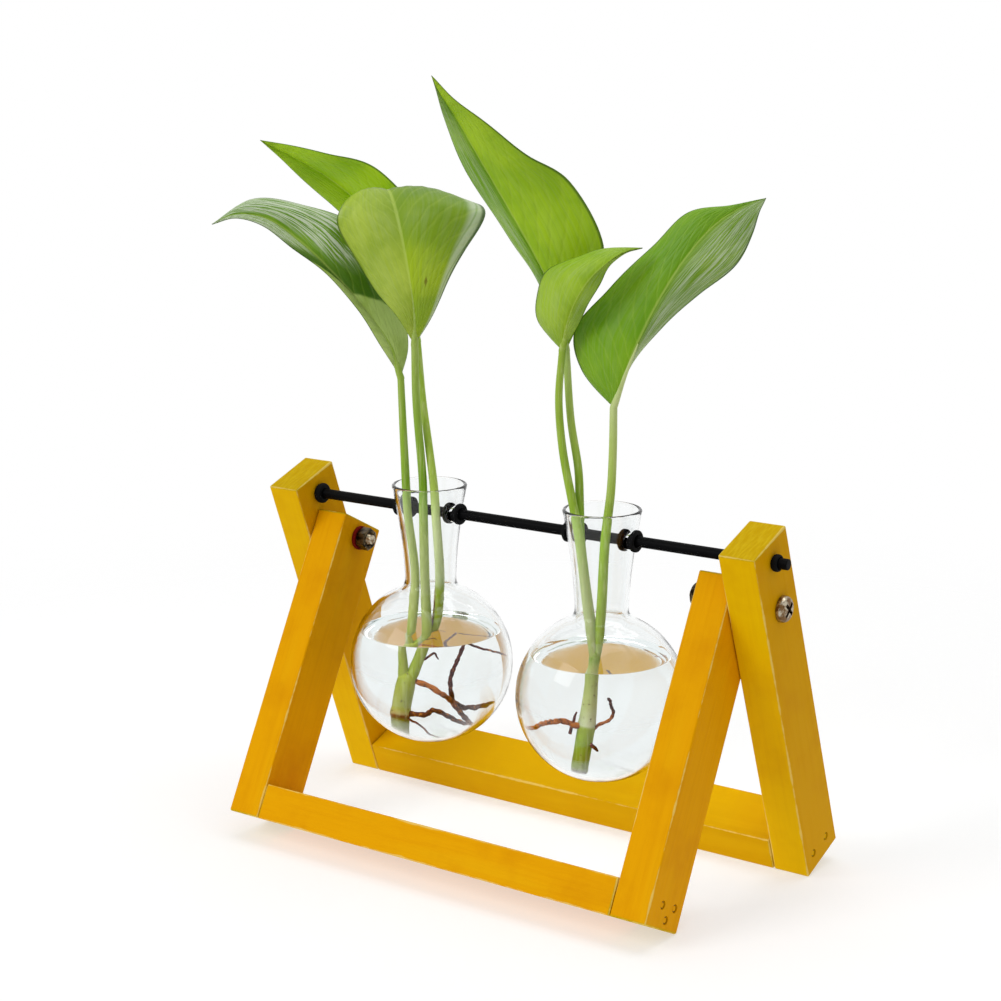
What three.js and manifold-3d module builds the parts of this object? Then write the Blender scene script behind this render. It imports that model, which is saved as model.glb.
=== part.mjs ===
// Hydroponic vase: two glass bulb vases that hang from a rod in a folding wooden stand,
// each with a leafy cutting that roots in water.
// Millimetres. X runs along the rod, -Y is the front and +Z is up. The origin lies on the
// table, midway between the front and rear feet.

import * as THREE from 'three';
import { mergeVertices } from 'three/addons/utils/BufferGeometryUtils.js';
import Module from 'manifold-3d';

const wasm = await Module();
wasm.setup();

// Gap kept between pieces that touch
const gap = 0.3;

// Timber of the stand
const legThickness = 18;
const legDepth = 30;
const outerLegLength = 175;
const innerLegLength = 156;
const railHeight = 17;
const easedEdge = 0.6;

// How the two frames cross
const openingAngle = THREE.MathUtils.degToRad(47.8);
const pivotBelowOuterTop = 34;
const pivotBelowInnerTop = 8.5;

// Room for the two bulbs between the inner legs
const bulbToBulb = 19;
const bulbToLeg = 11.7;

// Rod and the rubber rings that keep it in the legs
const rodDiameter = 5;
const rodBelowOuterTop = 10;
const rodOverhang = 7.3;
const rodHoleClearance = 0.5;
const rodEndEase = 0.4;
const innerRingDiameter = 10.2;
const innerRingWidth = 3.6;
const outerRingDiameter = 7.8;
const outerRingWidth = 2.8;

// Pivot bolt, washer and nut
const boltDiameter = 6;
const boltHeadDiameter = 12;
const boltHeadHeight = 3.8;
const boltTail = 1.6;
const boltTipInset = 0.6;
const boltTipRise = 0.8;
const recessReach = 6.4;
const recessWidth = 1.2;
const recessDepth = 2.2;
const washerDiameter = 12;
const washerThickness = 1.6;
const washerEase = 0.2;
const nutAcrossFlats = 10;
const nutHeight = 5;

// Nails that fasten the legs to the rails
const nailDiameter = 1.8;
const nailHeadDiameter = 3.4;
const nailHeadThickness = 0.9;
const nailLength = 34;
const nailSink = 0.7;
const nailTip = 3;

// Glass of one vase
const bulbDiameter = 80;
const glassWall = 1.8;
const throatDiameter = 25;
const mouthDiameter = 36.5;
const neckBelowRod = 34;
const mouthAboveRod = 12;
const neckFlare = 1.6;
const shoulder = 4;

// Rubber grommets in the side holes of the neck
const grommetFlangeDiameter = 10.2;
const grommetWaistDiameter = 7.8;
const grommetFlangeThickness = 2;

// Cuttings
const stalkDiameter = 4.2;
const crownDiameter = 7.6;
const rootDiameter = 1.8;
const leafThickness = 0.8;
const leafSwell = 0.1;
const leafRows = 12;

// Facets
const glassFacets = 28;
const roundFacets = 16;
const stalkFacets = 8;
const nailFacets = 8;
const nutFacets = 24;

// Steps along the curved pieces of a cutting
const crownSteps = 6;
const stalkSteps = 12;
const rootSteps = 12;

const palette = {
  outerPaint: { color: 0xd8aa08, roughness: 0.55, metalness: 0 },
  innerPaint: { color: 0xe0a206, roughness: 0.55, metalness: 0 },
  rodPaint: { color: 0x16171a, roughness: 0.5, metalness: 0.2 },
  rubber: { color: 0x101010, roughness: 0.75, metalness: 0 },
  plated: { color: 0xb9b4a6, roughness: 0.3, metalness: 1 },
  fibre: { color: 0x6b1510, roughness: 0.8, metalness: 0 },
  nail: { color: 0x5a2a12, roughness: 0.6, metalness: 0.6 },
  glass: { color: 0xeaf2f2, roughness: 0.05, metalness: 0, transparent: true, opacity: 0.3 },
  leaf: { color: 0x7ba51c, roughness: 0.45, metalness: 0 },
  stalk: { color: 0x9fb35a, roughness: 0.5, metalness: 0 },
  crown: { color: 0xa9b06a, roughness: 0.6, metalness: 0 },
  root: { color: 0x5a2410, roughness: 0.7, metalness: 0 },
};

const materials = {};
for (const [name, look] of Object.entries(palette)) {
  materials[name] = new THREE.MeshStandardMaterial(look);
}

// Lean of each frame, so that the lowest edges of both stand on the table
const pivotAboveOuterFoot = outerLegLength - pivotBelowOuterTop;
const pivotAboveInnerFoot = innerLegLength - pivotBelowInnerTop;
const halfDepth = legDepth / 2;
const leanRise = pivotAboveOuterFoot - pivotAboveInnerFoot * Math.cos(openingAngle)
  - halfDepth * Math.sin(openingAngle);
const leanRun = pivotAboveInnerFoot * Math.sin(openingAngle) - halfDepth * Math.cos(openingAngle)
  - halfDepth;
const outerLean = Math.atan2(leanRise, leanRun);
const innerLean = openingAngle - outerLean;

// Height of the pivot, and its place that centres the feet about the origin
const pivotZ = pivotAboveOuterFoot * Math.cos(outerLean) + halfDepth * Math.sin(outerLean);
const rearReach = pivotAboveOuterFoot * Math.sin(outerLean) + halfDepth * Math.cos(outerLean);
const frontReach = pivotAboveInnerFoot * Math.sin(innerLean) + halfDepth * Math.cos(innerLean);
const pivotY = (frontReach - rearReach) / 2;

// Rod axis, in the outer frame and in the whole object
const rodAbovePivot = pivotBelowOuterTop - rodBelowOuterTop;
const rodY = pivotY - rodAbovePivot * Math.sin(outerLean);
const rodZ = pivotZ + rodAbovePivot * Math.cos(outerLean);

// Widths, worked outwards from the two bulbs
const vaseX = (bulbDiameter + bulbToBulb) / 2;
const innerLegInside = vaseX + bulbDiameter / 2 + bulbToLeg;
const innerLegOutside = innerLegInside + legThickness;
const outerLegInside = innerLegOutside + gap;
const outerLegOutside = outerLegInside + legThickness;

// Solids

function closedGeometry(positions, triangles) {
  const geometry = new THREE.BufferGeometry();
  geometry.setAttribute('position', new THREE.Float32BufferAttribute(positions, 3));
  geometry.setIndex(triangles);
  geometry.computeVertexNormals();
  return geometry;
}

// Joins the vertices that lie together and drops the triangles that this leaves with no area
function weld(geometry) {
  const bare = geometry.clone();
  bare.deleteAttribute('normal');
  bare.deleteAttribute('uv');
  const merged = mergeVertices(bare, 1e-4);
  const index = merged.index.array;
  const kept = [];
  for (let i = 0; i < index.length; i += 3) {
    const [a, b, c] = [index[i], index[i + 1], index[i + 2]];
    if (a !== b && b !== c && c !== a) {
      kept.push(a, b, c);
    }
  }
  return closedGeometry(Array.from(merged.attributes.position.array), kept);
}

function signedVolume(geometry) {
  const position = geometry.attributes.position;
  const index = geometry.index.array;
  const [a, b, c] = [new THREE.Vector3(), new THREE.Vector3(), new THREE.Vector3()];
  let volume = 0;
  for (let i = 0; i < index.length; i += 3) {
    a.fromBufferAttribute(position, index[i]);
    b.fromBufferAttribute(position, index[i + 1]);
    c.fromBufferAttribute(position, index[i + 2]);
    volume += a.dot(b.cross(c)) / 6;
  }
  return volume;
}

// Welds a closed shape and turns its faces outwards
function closed(geometry) {
  const welded = weld(geometry);
  if (signedVolume(welded) > 0) {
    return welded;
  }
  const index = Array.from(welded.index.array);
  for (let i = 0; i < index.length; i += 3) {
    [index[i], index[i + 1]] = [index[i + 1], index[i]];
  }
  return closedGeometry(Array.from(welded.attributes.position.array), index);
}

function toSolid(geometry) {
  const shape = closed(geometry);
  return new wasm.Manifold(new wasm.Mesh({
    numProp: 3,
    vertProperties: new Float32Array(shape.attributes.position.array),
    triVerts: new Uint32Array(shape.index.array),
  }));
}

function toGeometry(solid) {
  const mesh = solid.getMesh();
  return closedGeometry(Array.from(mesh.vertProperties), Array.from(mesh.triVerts));
}

function cut(geometry, cutters) {
  let solid = toSolid(geometry);
  for (const cutter of cutters) {
    solid = solid.subtract(toSolid(cutter));
  }
  return toGeometry(solid);
}

// Turns a shape drawn as (depth, height) and extruded along its own Z so that it runs along X
const sideways = new THREE.Matrix4().makeBasis(
  new THREE.Vector3(0, 1, 0),
  new THREE.Vector3(0, 0, 1),
  new THREE.Vector3(1, 0, 0),
);

function extrudeAlongX(shape, from, to, edge, curveSegments = 8) {
  const geometry = new THREE.ExtrudeGeometry(shape, {
    depth: to - from - 2 * edge,
    bevelEnabled: edge > 0,
    bevelThickness: edge,
    bevelSize: edge,
    bevelOffset: -edge,
    bevelSegments: 1,
    curveSegments,
  });
  return geometry.applyMatrix4(sideways).translate(from + edge, 0, 0);
}

// Revolves a list of [radius, distance along the axis] about X
function revolveX(profile, facets = roundFacets) {
  const points = profile.map(([radius, along]) => new THREE.Vector2(radius, along));
  return new THREE.LatheGeometry(points, facets).rotateZ(-Math.PI / 2);
}

// Revolves a list of [radius, height] about Z
function revolveZ(profile, facets) {
  const points = profile.map(([radius, height]) => new THREE.Vector2(radius, height));
  return new THREE.LatheGeometry(points, facets).rotateX(Math.PI / 2);
}

function rectangle(left, right, bottom, top) {
  const shape = new THREE.Shape();
  shape.moveTo(left, bottom);
  shape.lineTo(right, bottom);
  shape.lineTo(right, top);
  shape.lineTo(left, top);
  shape.closePath();
  return shape;
}

function addHole(shape, x, y, diameter) {
  const hole = new THREE.Path();
  hole.absarc(x, y, diameter / 2, 0, Math.PI * 2, true);
  shape.holes.push(hole);
}

function addMesh(parent, name, geometry, material) {
  const mesh = new THREE.Mesh(geometry, material);
  mesh.name = name;
  parent.add(mesh);
  return mesh;
}

// Nails: [height above the foot, depth from the front face] of each one in a joint
const rearNailPlaces = [
  [railHeight * 0.5, legDepth * 0.26],
  [railHeight * 0.5, legDepth * 0.69],
];
const frontNailPlaces = [
  [railHeight * 0.62, legDepth * 0.37],
  [railHeight * 0.62, legDepth * 0.75],
  [railHeight * 0.27, legDepth * 0.56],
];

// A round wire nail with a flat head, its head at zero and its point at -X
function nailProfile() {
  const [shank, head] = [nailDiameter / 2, nailHeadDiameter / 2];
  return [
    [0, 0],
    [head, 0],
    [head, -nailHeadThickness],
    [shank, -nailHeadThickness],
    [shank, nailTip - nailLength],
    [0, -nailLength],
  ];
}

// The hole that the nail makes, open above its sunk head
function nailHoleProfile() {
  const [shank, head] = [nailDiameter / 2 + gap, nailHeadDiameter / 2 + gap];
  return [
    [0, legThickness],
    [head, legThickness],
    [head, -nailHeadThickness - gap],
    [shank, -nailHeadThickness - gap],
    [shank, -nailLength - gap],
    [0, -nailLength - gap],
  ];
}

// Puts a shape made about X at a nail's place, on the right (+1) or left (-1) leg
function placeNail(geometry, side, legOutside, footZ, [height, depth]) {
  if (side < 0) {
    geometry.rotateZ(Math.PI);
  }
  return geometry.translate(side * (legOutside - nailSink), depth - halfDepth, footZ + height);
}

// One frame: two legs and the rail between their feet, with its origin at the pivot
function buildFrame(frame) {
  const group = new THREE.Group();
  const footZ = frame.pivotBelowTop - frame.legLength;
  const profile = rectangle(-halfDepth, halfDepth, footZ, frame.pivotBelowTop);
  addHole(profile, 0, 0, boltDiameter + 2 * gap);
  if (frame.rodAbovePivot) {
    addHole(profile, 0, frame.rodAbovePivot, rodDiameter + 2 * rodHoleClearance);
  }
  const railHoles = [];
  for (const [side, sideName] of [[-1, 'left'], [1, 'right']]) {
    const holes = frame.nailPlaces.map((place) => placeNail(
      revolveX(nailHoleProfile(), nailFacets), side, frame.legOutside, footZ, place,
    ));
    railHoles.push(...holes);
    const [from, to] = [side * frame.legInside, side * frame.legOutside].sort((a, b) => a - b);
    const leg = extrudeAlongX(profile, from, to, easedEdge);
    addMesh(group, `${sideName}_${frame.legName}_leg`, cut(leg, holes), frame.paint);
    frame.nailPlaces.forEach((place, i) => {
      const nail = placeNail(revolveX(nailProfile(), nailFacets), side, frame.legOutside, footZ, place);
      addMesh(group, `${sideName}_${frame.railName}_nail_${i + 1}`, closed(nail), materials.nail);
    });
  }
  const railEnd = frame.legInside - gap;
  const railSection = rectangle(-halfDepth, halfDepth, footZ, footZ + railHeight);
  const rail = extrudeAlongX(railSection, -railEnd, railEnd, easedEdge);
  addMesh(group, `${frame.railName}_rail`, cut(rail, railHoles), frame.paint);
  return group;
}

// Ring of soft rubber on the rod, with a round outside, centred on x
function rodRing(x, diameter, width) {
  const bore = rodDiameter / 2 + gap;
  const outline = [[bore, -width / 2]];
  const steps = 4;
  for (let i = 0; i <= steps; i += 1) {
    const angle = -Math.PI / 2 + (Math.PI * i) / steps;
    const bulge = (diameter / 2 - bore) * 0.55;
    outline.push([
      diameter / 2 - bulge + bulge * Math.cos(angle),
      (width / 2) * Math.sin(angle),
    ]);
  }
  outline.push([bore, width / 2], [bore, -width / 2]);
  return closed(revolveX(outline).translate(x, 0, 0));
}

// Pan-head bolt with a cross recess: the head's underside is at zero and the head points to +X
function pivotBolt(length) {
  const [shank, head] = [boltDiameter / 2, boltHeadDiameter / 2];
  const outline = [
    [0, -length],
    [shank - boltTipInset, -length],
    [shank, -length + boltTipRise],
    [shank, 0],
    [head, 0],
    [head, boltHeadHeight * 0.4],
    [head * 0.9, boltHeadHeight * 0.75],
    [head * 0.62, boltHeadHeight * 0.96],
    [0, boltHeadHeight],
  ];
  const slots = [0, Math.PI / 2].map((turn) => {
    const slot = new THREE.BoxGeometry(2 * recessDepth, recessWidth, recessReach);
    return slot.rotateX(turn).translate(boltHeadHeight, 0, 0);
  });
  return cut(revolveX(outline), slots);
}

// Hexagon nut whose corners are chamfered at both faces, from zero towards +X
function hexNut() {
  const corner = nutAcrossFlats / Math.sqrt(3);
  const hexagon = new THREE.Shape();
  for (let i = 0; i < 6; i += 1) {
    const angle = (Math.PI / 3) * i;
    hexagon[i ? 'lineTo' : 'moveTo'](corner * Math.cos(angle), corner * Math.sin(angle));
  }
  hexagon.closePath();
  addHole(hexagon, 0, 0, boltDiameter + 2 * gap);
  const rise = (corner - nutAcrossFlats / 2) * Math.tan(Math.PI / 6) * 2;
  const turned = revolveX([
    [0, 0],
    [nutAcrossFlats / 2, 0],
    [corner * 1.02, rise],
    [corner * 1.02, nutHeight - rise],
    [nutAcrossFlats / 2, nutHeight],
    [0, nutHeight],
  ], nutFacets);
  const blank = extrudeAlongX(hexagon, 0, nutHeight, 0);
  return toGeometry(toSolid(blank).intersect(toSolid(turned)));
}

function washer() {
  const [bore, edge] = [boltDiameter / 2 + gap, washerDiameter / 2];
  return closed(revolveX([
    [bore, 0],
    [edge - washerEase, 0],
    [edge, washerEase],
    [edge, washerThickness],
    [bore, washerThickness],
    [bore, 0],
  ]));
}

// Outer radius of the neck at a height measured from the rod's axis
function neckRadius(z) {
  const share = Math.max(0, (z + neckBelowRod) / (neckBelowRod + mouthAboveRod));
  return throatDiameter / 2 + ((mouthDiameter - throatDiameter) / 2) * share ** neckFlare;
}

// Where the bulb hands over to the shoulder, for a surface set out from the outer one
function shoulderStart(offset) {
  const radius = bulbDiameter / 2 + offset;
  const reach = throatDiameter / 2 + offset + shoulder;
  const angle = Math.asin(reach / radius);
  const tangentRise = shoulder * Math.tan(angle);
  return { radius, reach, angle, tangentRise, height: radius * Math.cos(angle) };
}

const outerShoulder = shoulderStart(0);
const bulbZ = -neckBelowRod - shoulder - outerShoulder.height - outerShoulder.tangentRise;

// Profile of one surface of the glass, from the bottom of the bulb up to the mouth
function glassSurface(offset) {
  const start = shoulderStart(offset);
  const points = [[0, bulbZ - start.radius]];
  const bulbSteps = 10;
  for (let i = 1; i <= bulbSteps; i += 1) {
    const angle = Math.PI + ((start.angle - Math.PI) * i) / bulbSteps;
    points.push([start.radius * Math.sin(angle), bulbZ + start.radius * Math.cos(angle)]);
  }
  const bend = new THREE.QuadraticBezierCurve(
    new THREE.Vector2(start.reach, bulbZ + start.height),
    new THREE.Vector2(start.reach - shoulder, bulbZ + start.height + start.tangentRise),
    new THREE.Vector2(start.reach - shoulder, -neckBelowRod),
  );
  for (const point of bend.getPoints(2).slice(1)) {
    points.push([point.x, point.y]);
  }
  const neckSteps = 5;
  for (let i = 1; i <= neckSteps; i += 1) {
    const z = -neckBelowRod + ((neckBelowRod + mouthAboveRod) * i) / neckSteps;
    points.push([neckRadius(z) + offset, z]);
  }
  return points;
}

// The glass wall as a closed profile, with a round lip
function glassWallProfile() {
  const lip = [neckRadius(mouthAboveRod) - glassWall / 2, mouthAboveRod + glassWall / 2];
  return [...glassSurface(0), lip, ...glassSurface(-glassWall).reverse()];
}

// One vase, blown in one piece, with a hole drilled through both sides of its neck
function glassVase() {
  const hole = grommetWaistDiameter / 2 + gap;
  const drilled = revolveX([
    [0, -mouthDiameter],
    [hole, -mouthDiameter],
    [hole, mouthDiameter],
    [0, mouthDiameter],
  ]);
  return cut(revolveZ(glassWallProfile(), glassFacets), [drilled]);
}

// Where the wall lies along the rod, around a side hole, out to the edge of a grommet's flange:
// the nearest point of its inside and the furthest point of its outside
function wallReach() {
  const edge = grommetFlangeDiameter / 2;
  const flatness = Math.cos(Math.PI / glassFacets);
  const inside = [];
  const outside = [];
  for (let degrees = -90; degrees <= 90; degrees += 15) {
    const angle = THREE.MathUtils.degToRad(degrees);
    const depth = edge * Math.cos(angle);
    const radius = neckRadius(edge * Math.sin(angle));
    inside.push(Math.sqrt(((radius - glassWall) * flatness) ** 2 - depth ** 2));
    outside.push(Math.sqrt(radius ** 2 - depth ** 2));
  }
  return [Math.min(...inside), Math.max(...outside)];
}

// Grommet in the +X side hole, round about the rod, so that the glass can turn on it
function grommet() {
  const [inside, outside] = wallReach();
  const [flange, waist] = [grommetFlangeDiameter / 2, grommetWaistDiameter / 2];
  const bore = rodDiameter / 2 + gap;
  const swell = grommetFlangeThickness / 4;
  const near = inside - gap - grommetFlangeThickness;
  const far = outside + gap + grommetFlangeThickness;
  return closed(revolveX([
    [bore, near],
    [flange - swell, near],
    [flange, near + swell],
    [flange, inside - gap],
    [waist, inside - gap],
    [waist, outside + gap],
    [flange, outside + gap],
    [flange, far - swell],
    [flange - swell, far],
    [bore, far],
    [bore, near],
  ]));
}

// Cuttings. Points are measured from the rod's axis at the middle of the vase.

// A point in the neck: the share of the room that a stalk has there, towards an angle in plan
function inNeck(z, degrees, share) {
  const room = neckRadius(z) - glassWall - stalkDiameter / 2 - gap;
  const angle = THREE.MathUtils.degToRad(degrees);
  return new THREE.Vector3(room * share * Math.cos(angle), room * share * Math.sin(angle), z);
}

// A point in the bulb, in shares of its inner radius
function inBulb(x, y, z) {
  const radius = bulbDiameter / 2 - glassWall;
  return new THREE.Vector3(x * radius, y * radius, bulbZ + z * radius);
}

// A point above the mouth
function aboveRod(x, y, z) {
  return new THREE.Vector3(x, y, z);
}

function tube(points, diameter, steps) {
  const section = new THREE.Shape();
  section.absarc(0, 0, diameter / 2, 0, Math.PI * 2, false);
  return closed(new THREE.ExtrudeGeometry(section, {
    steps,
    curveSegments: stalkFacets / 2,
    bevelEnabled: false,
    extrudePath: new THREE.CatmullRomCurve3(points),
  }));
}

// A thin blade, drawn through stations that each give a point of the midrib, of the left edge
// and of the right edge, as seen from the front. The last station is the tip, a single point.
function leafBlade(base, stations) {
  const curves = [1, 0, 2].map((part) => new THREE.CatmullRomCurve3([
    base,
    ...stations.map((station) => new THREE.Vector3(...(station[part] ?? station[0]))),
  ]));
  const across = [-1, -0.5, 0, 0.5, 1];
  const positions = [];
  const rowStart = [];
  for (let i = 0; i <= leafRows; i += 1) {
    const [left, rib, right] = curves.map((curve) => curve.getPoint(i / leafRows));
    const inside = THREE.MathUtils.clamp(i / leafRows, 1 / leafRows, 1 - 1 / leafRows);
    const chord = curves[2].getPoint(inside).sub(curves[0].getPoint(inside));
    const up = chord.cross(curves[1].getTangent(i / leafRows)).normalize();
    rowStart.push(positions.length / 6);
    for (const share of (i === 0 || i === leafRows) ? [0] : across) {
      const edge = share < 0 ? left : right;
      const half = Math.abs(share);
      const swell = leafSwell * 4 * half * (1 - half) * edge.distanceTo(rib);
      const point = rib.clone().lerp(edge, half).addScaledVector(up, swell);
      const upper = point.clone().addScaledVector(up, leafThickness / 2);
      const lower = point.clone().addScaledVector(up, -leafThickness / 2);
      positions.push(...upper.toArray(), ...lower.toArray());
    }
  }
  const upperAt = (i, j) => 2 * (rowStart[i] + ((i === 0 || i === leafRows) ? 0 : j));
  const triangles = [];
  const quad = (a, b, c, d) => triangles.push(a, b, c, a, c, d);
  const last = across.length - 1;
  for (let i = 0; i < leafRows; i += 1) {
    for (let j = 0; j < last; j += 1) {
      const corners = [upperAt(i, j), upperAt(i, j + 1), upperAt(i + 1, j + 1), upperAt(i + 1, j)];
      quad(...corners);
      quad(...corners.map((corner) => corner + 1).reverse());
    }
    for (const [j, flip] of [[0, false], [last, true]]) {
      const rim = [upperAt(i, j), upperAt(i + 1, j), upperAt(i + 1, j) + 1, upperAt(i, j) + 1];
      quad(...(flip ? rim.reverse() : rim));
    }
  }
  return closed(closedGeometry(positions, triangles));
}

// A leaf starts just past the end of its stalk
function leafBase(stalk) {
  const [before, end] = stalk.slice(-2);
  const onwards = end.clone().sub(before).normalize();
  return end.clone().addScaledVector(onwards, gap + leafThickness / 4);
}

// The crown is the short thick stem at the foot of a cutting. A stalk stands on its top, set
// aside by x and y, and both ends meet square to the crown.
function stalkFrom(crown, x, y, points) {
  const stem = new THREE.CatmullRomCurve3(crown);
  const [top, axis] = [stem.getPoint(1), stem.getTangent(1)];
  const aside = new THREE.Vector3(x, y, 0);
  aside.addScaledVector(axis, -aside.dot(axis));
  const foot = top.add(aside).addScaledVector(axis, gap);
  return [foot, foot.clone().addScaledVector(axis, stalkDiameter / 2), ...points];
}

// A root leaves the crown square to its side, a share of the way up it
function rootFrom(crown, share, points) {
  const stem = new THREE.CatmullRomCurve3(crown);
  const [origin, axis] = [stem.getPoint(share), stem.getTangent(share)];
  const away = points[0].clone().sub(origin);
  away.addScaledVector(axis, -away.dot(axis)).normalize();
  const start = origin.addScaledVector(away, crownDiameter / 2 + gap);
  return [start, start.clone().addScaledVector(away, rootDiameter), ...points];
}

// Left cutting: three stalks, three leaves, a crown that stands on the glass and three thick
// roots, the third of which crosses the first
const leftCrown = [
  inBulb(-0.205, -0.243, -0.875),
  inBulb(-0.2, -0.24, -0.5),
  inBulb(-0.139, -0.196, -0.077),
];
const leftStalks = [
  stalkFrom(leftCrown, -1.9, -1.35, [
    inBulb(-0.19, -0.235, 0.19),
    inBulb(-0.155, -0.22, 0.42),
    inNeck(-neckBelowRod, 202, 0.97),
    inNeck(0, 218.5, 0.92),
    aboveRod(-9, -7, 14.6),
    aboveRod(-9.9, -7.5, 44),
    aboveRod(-10.3, -8, 64.4),
  ]),
  stalkFrom(leftCrown, 1.9, 1.35, [
    inBulb(-0.008, -0.118, 0.19),
    inBulb(0, -0.097, 0.42),
    inNeck(-neckBelowRod, 233, 0.35),
    inNeck(0, 283, 0.62),
    aboveRod(1.2, -6.8, 15.7),
    aboveRod(-0.4, -9, 54.8),
    aboveRod(1.5, -12, 81.6),
  ]),
  [
    inBulb(0.068, 0.016, 0.504),
    inNeck(-neckBelowRod, 340, 0.96),
    inNeck(0, 325, 0.78),
    aboveRod(6.6, -5, 12),
    aboveRod(2.2, -3, 32),
    aboveRod(-2.6, -1, 53.5),
    aboveRod(-6.4, 1.4, 74),
    aboveRod(-7.5, 2, 81),
  ],
];
const leftLeaves = [
  [
    [[-11, -14, 80], [-14.5, -17, 80], [-8.5, -4, 80.5]],
    [[-21.5, -18, 96], [-24, -23, 98], [-20, 4, 102]],
    [[-38, -22, 113], [-38, -27, 113.5], [-33, 5, 123.5]],
    [[-50.5, -32, 129], [-49.5, -37, 125.5], [-45.5, 0, 136]],
    [[-61, -44, 140.5], [-60, -47, 137], [-54, -22, 145.5]],
    [[-71, -54, 142.5], [-69.5, -56, 141], [-68, -46, 149]],
    [[-80.5, -60, 138]],
  ],
  [
    [[7, -19, 96], [-2.5, -20, 95.5], [13.5, -14, 96]],
    [[10.5, -26, 112.5], [-15, -23, 110.5], [23.5, -15, 112.5]],
    [[8.5, -28, 130], [-28, -23, 126], [33, -14, 128.5]],
    [[1, -24, 145.5], [-38.5, -19, 139.5], [42, -10, 144.5]],
    [[-11.5, -14, 153.5], [-41, -9, 147.5], [25.5, -2, 149.5]],
    [[-22, -6, 150], [-38.5, -2, 145.5], [-4.5, 3, 145]],
    [[-29.5, 1, 141]],
  ],
  [
    [[-20.5, 12, 101], [-28, 9, 97], [-11, 14, 103.5]],
    [[-38, 19, 124], [-45, 15, 120], [-18.5, 21, 130.5]],
    [[-52, 19, 140.5], [-60.5, 14, 137], [-27, 22, 146]],
    [[-62, 9, 154], [-69.5, 4, 149], [-40, 13, 161.5]],
    [[-72.5, -7, 166], [-76.5, -11, 164], [-57, -4, 169.5]],
    [[-83, -22, 175.5]],
  ],
];
const leftRoots = [
  rootFrom(leftCrown, 0.93, [
    inBulb(0.101, -0.031, -0.288),
    inBulb(0.188, 0.086, -0.416),
    inBulb(0.261, 0.17, -0.568),
    inBulb(0.308, 0.22, -0.635),
  ]),
  rootFrom(leftCrown, 0.5, [
    inBulb(0.031, -0.203, -0.501),
    inBulb(0.128, -0.166, -0.457),
    inBulb(0.234, -0.09, -0.501),
    inBulb(0.306, 0.025, -0.586),
    inBulb(0.364, 0.099, -0.618),
  ]),
  [
    inBulb(0.212, 0.248, 0.166),
    inBulb(0.185, 0.196, 0.023),
    inBulb(0.144, 0.135, -0.118),
    inBulb(0.137, 0.107, -0.26),
    inBulb(0.146, 0.138, -0.397),
    inBulb(0.226, 0.186, -0.464),
    inBulb(0.357, 0.255, -0.458),
    inBulb(0.5, 0.357, -0.43),
  ],
];

// Right cutting: three stalks, three leaves, a crown that hangs in the water and two roots
const rightCrown = [
  inBulb(-0.119, -0.181, -0.712),
  inBulb(-0.045, -0.128, -0.05),
  inBulb(-0.02, -0.11, 0.6),
];
const rightStalks = [
  stalkFrom(rightCrown, -1.4, -2.7, [
    inNeck(-neckBelowRod, 232, 0.8),
    inNeck(0, 240, 0.95),
    aboveRod(-9.8, -8.95, 14),
    aboveRod(-15, -10, 40),
    aboveRod(-16.5, -11, 63),
    aboveRod(-14, -12, 85.5),
  ]),
  stalkFrom(rightCrown, -2.4, 2.3, [
    inNeck(-neckBelowRod, 178, 0.9),
    inNeck(0, 215, 0.84),
    aboveRod(-9.4, -4.4, 14),
    aboveRod(-10.8, -3.4, 30),
    aboveRod(-14.6, -4, 53),
    aboveRod(-16.5, -5, 84.5),
  ]),
  stalkFrom(rightCrown, 2.8, 0.6, [
    inNeck(-neckBelowRod, 300, 0.4),
    inNeck(0, 313, 0.65),
    aboveRod(8.4, -6, 23),
    aboveRod(9.3, -6, 42),
    aboveRod(9.5, -6, 61),
  ]),
];
const rightLeaves = [
  [
    [[-7, -19, 98.5], [-23.5, -15, 96], [-5, -14, 96.5]],
    [[2, -25, 110.5], [-23.5, -19, 108.5], [3, -17, 108]],
    [[10, -26, 120.5], [-17, -21, 121], [11, -19, 118.5]],
    [[16.5, -22, 127.5], [0.5, -20, 129.5], [14.5, -17, 126]],
    [[20.5, -15, 131.5], [14, -14, 133], [20, -13, 131]],
    [[25, -8, 133]],
  ],
  [
    [[-22, -4, 105], [-33, -6, 117], [-9.5, 3, 107]],
    [[-30, -9, 125.5], [-42, -13, 134.5], [-1, 2, 131]],
    [[-37, -20, 147.5], [-50.5, -25, 155.5], [-11.5, -10, 160]],
    [[-42.5, -34, 170], [-51.5, -40, 174.5], [-22, -28, 173]],
    [[-44, -50, 189], [-47.5, -54, 189.5], [-32, -47, 187.5]],
    [[-45.5, -60, 200.5], [-46, -61, 200.5], [-40, -59, 198.5]],
    [[-46, -64, 206.5]],
  ],
  [
    [[17, -9, 77], [-7.5, -6, 76], [17, -2, 81.5]],
    [[25, -9, 94], [-13, -3, 94], [31.5, 0, 98.5]],
    [[33, -5, 112.5], [4.5, -2, 114], [45.5, 6, 113]],
    [[41, 1, 128.5], [23.5, 2, 132.5], [61, 11, 126]],
    [[51, 9, 143], [37.5, 8, 147.5], [65, 17, 139]],
    [[60, 17, 150.5], [54.5, 16, 151], [67, 20, 149]],
    [[67.5, 24, 154]],
  ],
];
const rightRoots = [
  rootFrom(rightCrown, 0.33, [
    inBulb(-0.273, -0.388, -0.2),
    inBulb(-0.382, -0.498, -0.24),
    inBulb(-0.573, -0.634, -0.315),
  ]),
  rootFrom(rightCrown, 0.3, [
    inBulb(0.1, -0.088, -0.22),
    inBulb(0.161, -0.046, -0.118),
    inBulb(0.15, -0.05, -0.04),
    inBulb(0.1, -0.06, 0.02),
  ]),
];

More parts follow.
